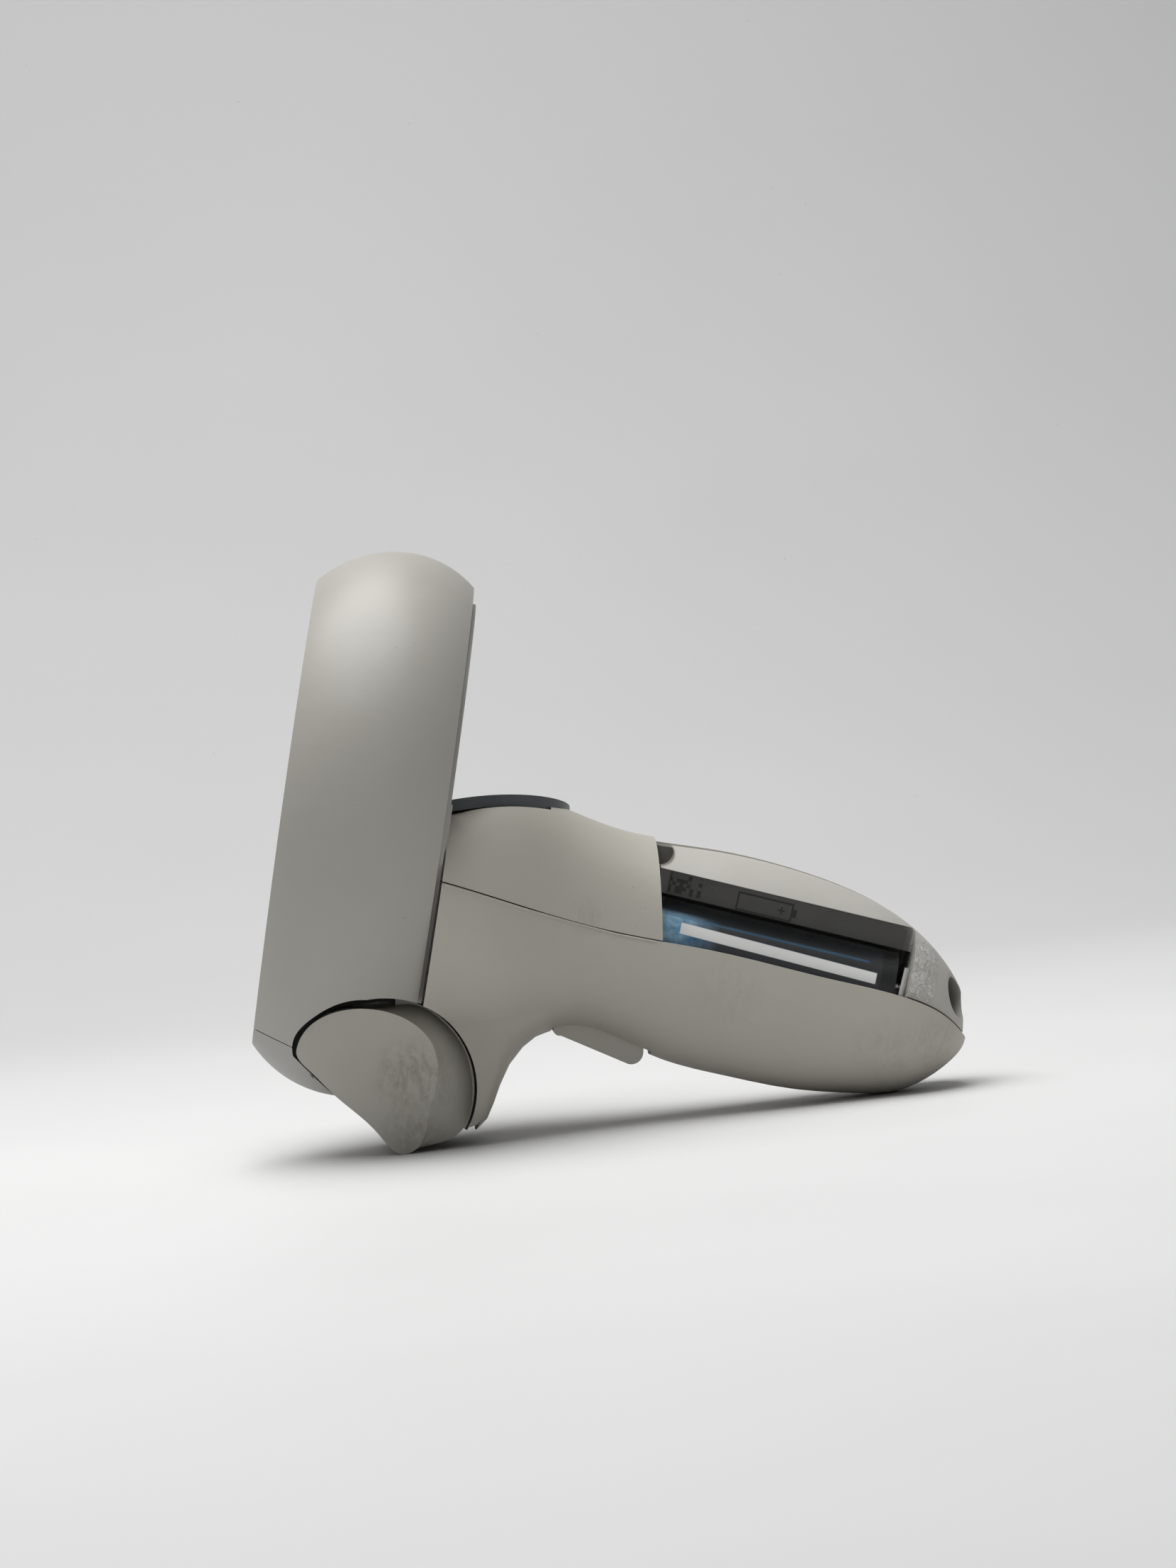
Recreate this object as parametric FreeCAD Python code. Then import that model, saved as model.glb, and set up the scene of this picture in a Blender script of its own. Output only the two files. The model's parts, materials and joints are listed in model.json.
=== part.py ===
"""Right-hand motion controller with a tracking ring, lying at rest with its battery cover off.

The parts are drawn in the controller's own frame: X runs from the ring to the end of the handle,
Z from the trigger to the face plate, and Y across, with the battery bay on the -Y side.  The last
step tips the whole controller onto what it lies on and sets the origin.
"""
import FreeCAD, Part
import math
import os

V = FreeCAD.Vector

# ---- driving dimensions, in millimetres and degrees ----------------------------------------
SHELL_WALL = 2.0            # head and handle shells
PART_GAP = 0.3              # between separate mouldings
RUN_GAP = 0.1               # radial running clearance of pins

# tracking ring: an egg outline of tangent arcs, with a crowned outer face
RING_LEAN = 8.0
RING_X, RING_Z = -40.4, 45.0
RING_HEIGHT = 90.5
RING_TOP_R = 40.0
RING_SIDE_R = 90.0
RING_CHIN_R = 18.0
RING_BAND = 8.4             # radial depth at the crown's peak
RING_FRONT, RING_REAR = -12.2, 13.5
CROWN_AT = 2.4              # axial place of the crown's peak
FRONT_DROP, REAR_DROP = 6.6, 4.2
RING_WALL = 1.5
RIM_PROUD = 0.7             # the inner band stands this far behind the outer one
BOARD_THICK = 1.6
LED_COUNT = 15
LED_SIZE = (3.0, 1.6, 0.9)

# face plate: an arched oval panel, tipped forwards and towards the thumb
PLATE_FRONT = (-49.5, 38.0)
PLATE_CREST = (-20.0, 46.6)
PLATE_BACK = (-5.4, 47.4)
PLATE_HALF_WIDTH = 21.5
PLATE_THICK = 1.9
PLATE_TILT = 8.0

# trigger and its opening
TRIGGER_X, TRIGGER_Z = -36.35, 1.76
OPENING_R = 15.25
COLLAR_R = 17.8
SWING_R = 16.7              # hidden room behind the collar's lips
TRIGGER_BODY_R = 14.6
TRIGGER_FILL_R = 14.9        # hidden part that closes the view past the rim
LIP_CLEAR = 1.6             # from the trigger's body to the collar's lips
TRIGGER_BODY_HALF = 12.4
TRIGGER_PIVOT = (-46.5, 10.5)
TRIGGER_PIN_R = 1.25
TRIGGER_PIN_LENGTH = 21.0
PIN_SEAT = 0.02             # pins in the parts that hold them
LUG_R = 2.9
LUG_HALF = 3.6
BRACKET_TOP = 21.8
SPRING_R = 1.9
SPRING_WIRE = 0.5
SPRING_LENGTH = 3.6
SPRING_TURNS = 4
FOOT_LINE = ((-58.9, 11.9), (-50.7, 8.3))
FOOT_GAP = 0.12

# battery cell and its bay
CELL_R = 7.15
CELL_LENGTH = 50.0
CELL_FRONT = (-0.6, 28.0)   # negative end, on the axis
CELL_Y = -5.4
CELL_SLOPE = -13.5
BAY_CLEAR = 0.5
BAY_TOP = 11.6              # from the cell's axis to the bay's upper edge
SHELF_Y = -5.0
BAY_EDGE_X = 8.4            # where the upper shell stops on the open side
COVER_SPLIT_Y = 6.0
COVER_THICK = 1.0           # step that the battery cover would fill
LATCH_HOLE_R = 2.1
LATCH_HOLE_DEPTH = 6.0

# thumb controls, placed on the face plate by (along, across) from its centre
STICK_AT = (-9.0, -7.0)
STICK_PIVOT_DEPTH = 9.0
STICK_CAP_R = 7.3
STICK_CAP_THICK = 3.0
STICK_RISE = 7.4            # plate to the underside of the cap
STICK_SHAFT_R = 2.0
STICK_DOME_R = 9.3
STICK_HOLE_R = 8.0
BUTTONS_AT = ((-12.5, 11.0), (0.5, 12.5))
BUTTON_R = 3.6
BUTTON_PROUD = 0.9
HOME_AT = (12.5, -8.0)
HOME_R = 2.6
HOME_PROUD = -0.3

BUTTON_GAP = 0.25
BUTTON_DEPTH = 4.4
BUTTON_ROUND = 0.4
MAT_LOW = -6.0
BOARD_TOP = -15.6
PLATE_GAP = 0.25
PLATE_LEDGE = 1.6
CEILING = 1.2               # shell wall under the plate
HOUSING_HALF = 8.6
YOKE_HALF = 6.3
YOKE_ROOM = 4.2
YOKE_PIN_R = 1.0
HUB_HALF = 3.4
HUB_PIN_R = 0.9

# inside the head and the handle
CORE_FRONT = -7.0
COVER_FRONT = -9.0
SEAM_GAP = 0.2
COLLAR_ROOF, COLLAR_WIDEST = 30.0, 18.0
SPRING_ROOM = 5.2
BAY_END = 1.5
LINER_START = 9.6
LINER_THICK = 0.35
FRONT_HOLE = (9.4, -10.0, 40.2)
END_HOLE = (57.2, -6.5, 16.1)
END_HOLE_R = 3.4
END_HOLE_TURN = 63.0
HAPTIC_AT = (-17.0, 20.5)
HAPTIC_R = 4.0
HAPTIC_HALF = 9.0

# grip button under the neck
GRIP_Y0, GRIP_Y1 = -5.5, 6.5
GRIP_PIVOT = (-6.6, 13.7)
GRIP_PIN_R = 0.8
GRIP_SPRING_R = 1.35
GRIP_SPRING_WIRE = 0.35
GRIP_SPRING_LENGTH = 2.4
GRIP_REAR_GAP = 1.3         # the button's tail swings back as it goes in

# how the controller lies: on the trigger's two corners and the underside of the handle
REST_PITCH = 6.4

# stations of the head, neck and handle:
# x, top, bottom, widest z, half width, top and bottom power, sideways tip of the top
HULL = (
    (-36.0, 43.6, 3.4, 37.0, 33.6, 2.1, 1.55, 1.0),
    (-27.0, 45.6, 4.8, 35.8, 32.4, 2.3, 1.55, 1.0),
    (-20.0, 47.9, 6.4, 33.6, 28.8, 2.6, 1.7, 1.0),
    (-13.0, 48.6, 8.6, 31.3, 24.0, 2.8, 1.9, 1.0),
    (-6.0, 47.0, 11.0, 29.0, 19.8, 2.5, 2.1, 0.6),
    (1.0, 44.4, 9.6, 27.2, 17.5, 2.4, 2.3, 0.25),
    (9.0, 42.5, 6.0, 25.6, 16.7, 2.3, 2.3, 0.0),
    (20.0, 40.9, 3.0, 23.6, 16.6, 2.3, 2.3, 0.0),
    (31.0, 38.3, 0.8, 20.9, 16.4, 2.3, 2.3, 0.0),
    (41.0, 34.8, 0.0, 18.4, 16.1, 2.3, 2.3, 0.0),
    (49.0, 30.5, 0.4, 16.2, 15.4, 2.3, 2.3, 0.0),
    (55.0, 25.2, 3.2, 13.8, 12.8, 2.2, 2.2, 0.0),
    (58.6, 20.2, 6.1, 12.4, 8.8, 2.1, 2.1, 0.0),
    (60.3, 15.6, 9.6, 12.4, 3.4, 2.0, 2.0, 0.0),
)
# the collar behind the trigger: x, bottom, half width, power of the lower half
COLLAR = (
    (-31.0, -7.0, 16.2, 8.0),
    (-24.0, -6.2, 16.2, 8.0),
    (-21.0, -5.1, 16.2, 8.0),
    (-19.3, -3.4, 16.2, 7.0),
    (-18.2, -0.9, 16.1, 6.0),
    (-17.2, 1.8, 15.9, 4.8),
    (-15.6, 5.1, 15.5, 3.8),
    (-13.3, 7.9, 15.0, 3.0),
    (-10.0, 10.5, 14.4, 2.6),
    (-6.0, 12.4, 13.6, 2.2),
)
# the seam between the upper and the lower shell, seen from the side
SEAM = ((-60.0, 41.0), (-38.0, 38.4), (-27.1, 35.8), (-12.9, 31.3), (1.2, 27.3), (17.6, 24.2),
        (36.5, 19.6), (49.8, 16.2), (55.3, 13.6), (60.0, 9.4), (66.0, 3.0))

# ---- small helpers ---------------------------------------------------------------------------
def flat(points, y):
    """Points (x, z) set into the plane at y."""
    return [V(x, y, z) for x, z in points]


def spline(points, closed=False):
    curve = Part.BSplineCurve()
    curve.interpolate(points, PeriodicFlag=closed)
    return curve.toShape()


def loop(points, stops):
    """Closed smooth outline that reaches its points at set stops, so that two outlines match."""
    curve = Part.BSplineCurve()
    curve.interpolate(Points=points, PeriodicFlag=True, Parameters=stops)
    return Part.Wire(curve.toShape())


def arc(first, middle, last):
    return Part.Arc(first, middle, last).toShape()


def slab(edges, y0, y1):
    """Closed outline drawn in the XZ plane at y0, extruded across to y1."""
    face = Part.Face(Part.Wire(Part.__sortEdges__(edges)))
    return face.extrude(V(0, y1 - y0, 0))


def box(x0, x1, y0, y1, z0, z1):
    return Part.makeBox(x1 - x0, y1 - y0, z1 - z0, V(x0, y0, z0))


def across(radius, x, z, y0, y1):
    """Round bar along Y."""
    return Part.makeCylinder(radius, y1 - y0, V(x, y0, z), V(0, 1, 0))


def moved(shape, placement):
    copy = shape.copy()
    copy.transformShape(placement.toMatrix(), True)
    return copy


def largest(shape):
    """The biggest solid of a cut, without slivers."""
    return max(shape.Solids, key=lambda solid: solid.Volume)


# ---- frames ----------------------------------------------------------------------------------
RING_FRAME = FreeCAD.Placement(V(RING_X, 0, RING_Z), FreeCAD.Rotation(V(0, 1, 0), RING_LEAN))
CELL_FRAME = FreeCAD.Placement(V(CELL_FRONT[0], CELL_Y, CELL_FRONT[1]),
                               FreeCAD.Rotation(V(0, 1, 0), -CELL_SLOPE))


def plate_circle():
    """Centre and radius of the plate's arch, through its three driving points."""
    (ax, az), (bx, bz), (cx, cz) = PLATE_FRONT, PLATE_CREST, PLATE_BACK
    twice = 2 * (ax * (bz - cz) + bx * (cz - az) + cx * (az - bz))
    a2, b2, c2 = ax * ax + az * az, bx * bx + bz * bz, cx * cx + cz * cz
    x = (a2 * (bz - cz) + b2 * (cz - az) + c2 * (az - bz)) / twice
    z = (a2 * (cx - bx) + b2 * (ax - cx) + c2 * (bx - ax)) / twice
    return x, z, math.hypot(ax - x, az - z)


def arch_z(x):
    """Height of the plate's top on the middle line."""
    centre_x, centre_z, radius = plate_circle()
    return centre_z + math.sqrt(radius ** 2 - (x - centre_x) ** 2)


def deck_frame():
    """Frame of the face plate: X along it to the back, Z out of it, origin on its top."""
    middle = (PLATE_FRONT[0] + PLATE_BACK[0]) / 2
    slope = math.degrees(math.atan2(arch_z(middle + 1) - arch_z(middle - 1), 2.0))
    turn = FreeCAD.Rotation(V(0, 1, 0), -slope).multiply(FreeCAD.Rotation(V(1, 0, 0), -PLATE_TILT))
    return FreeCAD.Placement(V(middle, 0, arch_z(middle)), turn)


DECK_FRAME = deck_frame()


def deck_layer(low, high, x0=-66.0, x1=6.0):
    """Layer between two heights over the plate's top, across the whole head."""
    reach = 50.0
    lift = reach * math.tan(math.radians(PLATE_TILT))
    middle = (x0 + x1) / 2

    def at(x, rise):
        return V(x, -reach, arch_z(x) + lift + rise)

    edges = [arc(at(x0, low), at(middle, low), at(x1, low)), Part.makeLine(at(x1, low), at(x1, high)),
             arc(at(x1, high), at(middle, high), at(x0, high)), Part.makeLine(at(x0, high), at(x0, low))]
    return Part.Face(Part.Wire(edges)).extrude(V(0, 2 * reach, -2 * lift))


def plate_oval(grow):
    """Upright prism of the plate's oval outline."""
    middle, half = (PLATE_FRONT[0] + PLATE_BACK[0]) / 2, (PLATE_BACK[0] - PLATE_FRONT[0]) / 2
    oval = Part.Ellipse(V(middle, 0, 0), half + grow, PLATE_HALF_WIDTH + grow)
    return Part.Face(Part.Wire(oval.toShape())).extrude(V(0, 0, 100))


def on_deck(shape):
    return moved(shape, DECK_FRAME)


def deck_bar(radius, at, low, high):
    """Round bar square to the plate."""
    return on_deck(Part.makeCylinder(radius, high - low, V(at[0], at[1], low)))


def deck_box(x0, x1, y0, y1, z0, z1):
    return on_deck(box(x0, x1, y0, y1, z0, z1))


# ---- tracking ring ---------------------------------------------------------------------------
def egg_arcs(inset=0.0):
    """Tangent arcs of the ring's outline: centre y, centre z, radius, first and last angle."""
    top_z = RING_HEIGHT / 2 - RING_TOP_R
    chin_z = RING_CHIN_R - RING_HEIGHT / 2
    to_top, to_chin = RING_SIDE_R - RING_TOP_R, RING_SIDE_R - RING_CHIN_R
    gap = top_z - chin_z
    side_z = ((to_chin ** 2 - to_top ** 2) / gap + top_z + chin_z) / 2
    side_y = math.sqrt(to_top ** 2 - (side_z - top_z) ** 2)
    high = math.degrees(math.atan2(top_z - side_z, side_y))
    low = math.degrees(math.atan2(chin_z - side_z, side_y))
    return ((0.0, top_z, RING_TOP_R - inset, high, 180 - high),
            (side_y, side_z, RING_SIDE_R - inset, 180 - high, 180 - low),
            (0.0, chin_z, RING_CHIN_R - inset, 180 - low, 360 + low),
            (-side_y, side_z, RING_SIDE_R - inset, low, high))


def egg_prism(inset, x0, x1):
    """Solid inside the ring's outline, drawn in the ring's frame."""
    edges = []
    for y, z, radius, first, last in egg_arcs(inset):
        points = [V(x0, y + radius * math.cos(math.radians(angle)),
                    z + radius * math.sin(math.radians(angle)))
                  for angle in (first, (first + last) / 2, last)]
        edges.append(arc(*points))
    return Part.Face(Part.Wire(edges)).extrude(V(x1 - x0, 0, 0))


def ring_sweep(profile):
    """Turn a closed (axial, radial) profile round the egg outline."""
    pieces = []
    for y, z, radius, first, last in egg_arcs():
        spoke = V(0, math.cos(math.radians(first)), math.sin(math.radians(first)))
        base = V(0, y, z) + spoke * radius
        edges = [edge(base, spoke) for edge in profile]
        face = Part.Face(Part.Wire(edges))
        pieces.append(face.revolve(V(0, y, z), V(1, 0, 0), last - first))
    whole = pieces[0].multiFuse(pieces[1:])
    return moved(largest(whole.removeSplitter()), RING_FRAME)


def straight(a0, r0, a1, r1):
    return lambda base, spoke: Part.LineSegment(base + V(a0, 0, 0) + spoke * r0,
                                                base + V(a1, 0, 0) + spoke * r1).toShape()


def curved(a0, r0, am, rm, a1, r1):
    return lambda base, spoke: arc(base + V(a0, 0, 0) + spoke * r0, base + V(am, 0, 0) + spoke * rm,
                                   base + V(a1, 0, 0) + spoke * r1)


def crown(front, rear, depth):
    """The two arcs of the crowned face from the rear edge to the front edge, sunk by depth."""
    def radius_of(run, drop):
        return (run ** 2 + drop ** 2) / (2 * drop)

    arcs = []
    for edge_at, full, drop in ((rear, RING_REAR, REAR_DROP), (front, RING_FRONT, FRONT_DROP)):
        radius = radius_of(full - CROWN_AT, drop) - depth
        centre = -depth - radius
        turn = math.asin((edge_at - CROWN_AT) / radius)
        end = (edge_at, centre + radius * math.cos(turn))
        middle = (CROWN_AT + radius * math.sin(turn / 2), centre + radius * math.cos(turn / 2))
        arcs.append((end, middle))
    (rear_end, rear_mid), (front_end, front_mid) = arcs
    peak = (CROWN_AT, -depth)
    return rear_end, rear_mid, peak, front_mid, front_end


def below_foot(gap):
    """Everything under the foot's parting line, raised by gap."""
    lean = V(FOOT_LINE[1][0] - FOOT_LINE[0][0], 0, FOOT_LINE[1][1] - FOOT_LINE[0][1]).normalize()
    rise = V(-lean.z, 0, lean.x) * gap
    left = V(FOOT_LINE[0][0], -60, FOOT_LINE[0][1]) - lean * 8 + rise
    right = V(FOOT_LINE[1][0], -60, FOOT_LINE[1][1]) + lean * 4 + rise
    corners = [left, right, V(right.x + 20, -60, -30), V(left.x, -60, -30)]
    return Part.Face(Part.makePolygon(corners + [left])).extrude(V(0, 120, 0))


def ring_foot():
    """Solid toe that closes the ring in front of the trigger."""
    rear, rear_mid, peak, front_mid, front = crown(RING_FRONT, RING_REAR, 0.0)
    low = -RING_BAND
    body = ring_sweep([straight(RING_FRONT, low, RING_REAR, low), straight(RING_REAR, low, *rear),
                       curved(*rear, *rear_mid, *peak), curved(*peak, *front_mid, *front),
                       straight(*front, RING_FRONT, low)])
    return largest(body.common(below_foot(0)).cut(opening(0, -60, 60)))


def ring_outer_shell():
    floor = -RING_BAND + RING_WALL + 0.1
    rear, rear_mid, peak, front_mid, front = crown(RING_FRONT, RING_REAR, 0.0)
    body = ring_sweep([straight(RING_FRONT, floor, RING_REAR, floor),
                       straight(RING_REAR, floor, *rear), curved(*rear, *rear_mid, *peak),
                       curved(*peak, *front_mid, *front), straight(*front, RING_FRONT, floor)])
    rear, rear_mid, peak, front_mid, front = crown(RING_FRONT + 4.5, RING_REAR - RING_WALL, RING_WALL)
    room = ring_sweep([straight(front[0], floor - 1, rear[0], floor - 1),
                       straight(rear[0], floor - 1, *rear), curved(*rear, *rear_mid, *peak),
                       curved(*peak, *front_mid, *front), straight(*front, front[0], floor - 1)])
    room = room.cut(opening(RING_WALL, -60, 60)).cut(below_foot(RING_WALL))
    return largest(body.cut(room).cut(opening(0, -60, 60)).cut(below_foot(FOOT_GAP)))


def ring_inner_shell():
    low, high = -RING_BAND, -RING_BAND + RING_WALL
    front, rear = RING_FRONT + PART_GAP, RING_REAR + RIM_PROUD
    band = ring_sweep([straight(front, low, rear, low), straight(rear, low, rear, high),
                       straight(rear, high, front, high), straight(front, high, front, low)])
    return largest(band.cut(opening(0, -60, 60)).cut(below_foot(FOOT_GAP)))


def ring_led_board():
    low = -RING_BAND + RING_WALL + 0.1
    front, rear = CROWN_AT - 5.0, CROWN_AT + 5.0
    high = low + BOARD_THICK / 2
    strip = ring_sweep([straight(front, low, rear, low), straight(rear, low, rear, high),
                        straight(rear, high, front, high), straight(front, high, front, low)])
    return largest(strip.cut(opening(RING_WALL + PART_GAP, -60, 60)).cut(below_foot(RING_WALL + PART_GAP)))


def ring_leds():
    """Emitters on the flexible board, evenly spread over the top arc."""
    y, z, radius, first, last = egg_arcs()[0]
    seat = radius - RING_BAND + RING_WALL + 0.1 + BOARD_THICK / 2
    leds = []
    for index in range(LED_COUNT):
        angle = first + (last - first) * (index + 0.5) / LED_COUNT
        side = (-2.0, 2.0)[index % 2] + CROWN_AT
        length, width, height = LED_SIZE
        led = Part.makeBox(length, width, height, V(side - length / 2, -width / 2, seat + 0.02))
        led.rotate(V(0, 0, 0), V(1, 0, 0), angle - 90)
        led.translate(V(0, y, z))
        leds.append(moved(led, RING_FRAME))
    return Part.makeCompound(leds)


# ---- trigger and its opening -----------------------------------------------------------------
SLANT_HIGH, SLANT_LOW = (-50.95, 7.0), (-44.6, 0.4)
OPENING_SIDE = ((-50.3, 11.0), (-47.9, 13.5), (-44.0, 15.9))


def opening(grow, y0, y1):
    """Trigger opening seen from the side, grown evenly and cut across."""
    lean = V(SLANT_LOW[0] - SLANT_HIGH[0], 0, SLANT_LOW[1] - SLANT_HIGH[1]).normalize()
    out = V(lean.z, 0, -lean.x) * grow
    high = V(SLANT_HIGH[0], y0, SLANT_HIGH[1]) + out
    low = high + lean * 26.0
    radius = OPENING_R + grow
    centre = V(TRIGGER_X, y0, TRIGGER_Z)

    def rim(angle):
        return centre + V(radius * math.cos(math.radians(angle)), 0, radius * math.sin(math.radians(angle)))

    side = [V(x, y0, z) + V(-0.7, 0, 0.7) * grow for x, z in OPENING_SIDE]
    top_left = spline([high] + side + [rim(100)])
    corner = V(rim(-30).x, y0, low.z)
    return slab([top_left, arc(rim(100), rim(35), rim(-30)), Part.makeLine(rim(-30), corner),
                 Part.makeLine(corner, low), Part.makeLine(low, high)], y0, y1)


def face_y(x, z):
    """Half width of the trigger's flat side face, which leans with the ring's flank."""
    return 22.6 + 0.21 * x + 0.27 * z


def trigger():
    """Wedge with flat side faces, a wide bevel to its rounded back, and a slot for its lug."""
    face = ((-50.35, 8.3), (-48.0, 12.3), (-42.9, 14.7), (-37.0, 14.8), (-32.0, 13.0), (-28.4, 9.3),
            (-27.5, 4.7), (-28.9, -2.0), (-31.2, -8.2), (-33.0, -8.9), (-37.0, -5.7), (-43.8, 0.4),
            (-48.4, 4.9))
    back = []
    for x, z in face:
        reach = math.hypot(x - TRIGGER_X, z - TRIGGER_Z)
        angle = math.degrees(math.atan2(z - TRIGGER_Z, x - TRIGGER_X))
        if -40 < angle < 85:
            grow = TRIGGER_BODY_R / reach
            x, z = TRIGGER_X + (x - TRIGGER_X) * grow, TRIGGER_Z + (z - TRIGGER_Z) * grow
        back.append((x, z))
    stops = [0.0]
    for (x0, z0), (x1, z1) in zip(face, face[1:] + face[:1]):
        stops.append(stops[-1] + math.hypot(x1 - x0, z1 - z0))
    half = TRIGGER_BODY_HALF
    body = Part.Face(loop(flat(back, -half), stops)).extrude(V(0, 2 * half, 0))
    for side in (-1, 1):
        near = loop([V(x, side * face_y(x, z), z) for x, z in face], stops)
        body = body.fuse(Part.makeLoft([near, loop(flat(back, side * half), stops)], True, True))
    fill = across(TRIGGER_FILL_R, TRIGGER_X, TRIGGER_Z, -half, half)
    body = body.fuse(fill.common(box(TRIGGER_X + 2, TRIGGER_X + 20, -half, half, TRIGGER_Z - 6.5,
                                     TRIGGER_Z + 20)))
    x, z = TRIGGER_PIVOT
    slot = box(x - 8, x + LUG_R + 1.2, -LUG_HALF - PART_GAP, LUG_HALF + PART_GAP, z - LUG_R - 0.6, z + 20)
    coil = across(SPRING_R + 1.0, x, z, LUG_HALF, LUG_HALF + SPRING_LENGTH + 0.8)
    bore = across(TRIGGER_PIN_R + RUN_GAP, x, z, -TRIGGER_PIN_LENGTH / 2 - PART_GAP,
                  TRIGGER_PIN_LENGTH / 2 + PART_GAP)
    return largest(body.cut(slot).cut(coil).cut(bore))


def trigger_pin():
    x, z = TRIGGER_PIVOT
    return across(TRIGGER_PIN_R, x, z, -TRIGGER_PIN_LENGTH / 2, TRIGGER_PIN_LENGTH / 2)


def trigger_bracket():
    """Lug that hangs through the opening's roof and holds the pin, on a foot inside the head."""
    x, z = TRIGGER_PIVOT
    boss = across(LUG_R, x, z, -LUG_HALF, LUG_HALF)
    stem = box(x - LUG_R, x + LUG_R, -LUG_HALF, LUG_HALF, z, BRACKET_TOP)
    foot = box(x - LUG_R, x + 12, -LUG_HALF - 1.5, LUG_HALF + 1.5, BRACKET_TOP - 1.6, BRACKET_TOP)
    bore = across(TRIGGER_PIN_R + PIN_SEAT, x, z, -LUG_HALF - 1, LUG_HALF + 1)
    return boss.fuse([stem, foot]).cut(bore).removeSplitter()


def pin_coil(radius, wire, length, turns):
    """Coil spring along Y from the origin."""
    path = Part.Wire(Part.makeHelix(length / turns, length, radius))
    ring = Part.Wire(Part.makeCircle(wire / 2, V(radius, 0, 0), V(0, 1, 0)))
    coil = path.makePipeShell([ring], True, True)
    coil.rotate(V(0, 0, 0), V(1, 0, 0), -90)
    return coil


def trigger_spring():
    """Return spring wound round the trigger's pin beside the lug."""
    coil = pin_coil(SPRING_R, SPRING_WIRE, SPRING_LENGTH, SPRING_TURNS)
    coil.translate(V(TRIGGER_PIVOT[0], LUG_HALF + 0.5, TRIGGER_PIVOT[1]))
    return coil


# ---- head, neck and handle -------------------------------------------------------------------
def section(station, inset):
    """Closed oval at one station, drawn as two halves of different height and fullness."""
    x, top, bottom, widest, half, top_power, bottom_power, tip = station
    lean = tip * math.tan(math.radians(PLATE_TILT))
    points = []
    for step in range(24):
        angle = 2 * math.pi * step / 24
        cosine, sine = math.cos(angle), math.sin(angle)
        power = 2 / (top_power if sine >= 0 else bottom_power)
        y = math.copysign(abs(cosine) ** power, cosine) * (half - inset)
        height = (top - inset - widest - y * lean) if sine >= 0 else (widest - bottom - inset)
        points.append(V(x, y, widest + math.copysign(abs(sine) ** power, sine) * height))
    return Part.Wire(spline(points, True))


def hull_loft(inset):
    wires = [section(station, min(inset, station[4] * 0.6)) for station in HULL]
    body = Part.makeLoft(wires, True, False)
    if inset:
        body = body.common(box(-80, HULL[-1][0] - inset, -60, 60, -40, 80))
    return body


def behind_ring(shape, gap):
    """Keep what lies this far behind the ring's rear rim."""
    keep = Part.makeBox(200, 200, 200, V(RING_REAR + RIM_PROUD + gap, -100, -100))
    return shape.common(moved(keep, RING_FRAME))


def core(inset, front, gap):
    """The head's front part, which fills the lower end of the ring."""
    prism = egg_prism(RING_BAND + PART_GAP + inset, front, RING_REAR + RIM_PROUD + gap)
    return moved(prism, RING_FRAME)


def collar():
    """Lip round the back of the trigger opening, with the web that sweeps up to the neck."""
    wires = [section((x, COLLAR_ROOF, bottom, COLLAR_WIDEST, half, 2.5, power, 0.0), 0)
             for x, bottom, half, power in COLLAR]
    return behind_ring(Part.makeLoft(wires, True, True), PART_GAP)


def seam_side(gap, upper):
    """Everything over (or under) the seam, less a gap."""
    shift = gap if upper else -gap
    points = [V(x, -60, z + shift) for x, z in SEAM]
    far = 90.0 if upper else -50.0
    first, last = V(points[0].x, -60, far), V(points[-1].x, -60, far)
    edges = [spline(points), Part.makeLine(points[-1], last), Part.makeLine(last, first),
             Part.makeLine(first, points[0])]
    return slab(edges, -60, 60)


def trigger_room(grow):
    """The opening and the hidden room that the trigger's back swings into."""
    half = TRIGGER_BODY_HALF + LIP_CLEAR + grow
    return opening(grow, -60, 60).fuse(across(SWING_R + grow, TRIGGER_X, TRIGGER_Z, -half, half))


def body_outside():
    outside = behind_ring(hull_loft(0), PART_GAP).fuse(core(0, CORE_FRONT, PART_GAP))
    cut = deck_layer(-PLATE_THICK - PLATE_GAP, 60, x1=-9)
    pocket = deck_layer(-PLATE_THICK - PLATE_GAP, 60).common(plate_oval(PLATE_GAP))
    return outside.fuse(collar()).cut(cut).cut(pocket).cut(trigger_room(0))


def body_inside():
    wall = SHELL_WALL
    inside = behind_ring(hull_loft(wall), PART_GAP + wall)
    inside = inside.fuse(core(wall, CORE_FRONT - 1, PART_GAP - wall))
    passage = core(wall, 0, PART_GAP + wall + 0.1).common(hull_loft(wall))
    inside = inside.fuse(passage)
    over = deck_layer(-PLATE_THICK - PLATE_GAP - CEILING, 60)
    return inside.cut(over).cut(trigger_room(COLLAR_R - SWING_R - 0.05))


def open_side(gap):
    """Near-side zone over the handle that the battery cover would close."""
    high, y0 = 60.0, -40.0
    x = BAY_EDGE_X + gap
    edges = [arc(V(x - 0.9, y0, high), V(x + 0.4, y0, 35), V(x - 0.1, y0, -10)),
             Part.makeLine(V(x - 0.1, y0, -10), V(80, y0, -10)), Part.makeLine(V(80, y0, -10), V(80, y0, high)),
             Part.makeLine(V(80, y0, high), V(x - 0.9, y0, high))]
    return slab(edges, y0, COVER_SPLIT_Y - gap)


def shell_wall():
    """Both shells in one, with the window under the plate."""
    window = deck_layer(-PLATE_THICK - SHELL_WALL - 2, 20).common(plate_oval(-PLATE_LEDGE))
    return body_outside().cut(body_inside()).cut(window)


def upper_shell(wall):
    return largest(wall.common(seam_side(SEAM_GAP / 2, True)).cut(open_side(0)))


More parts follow.
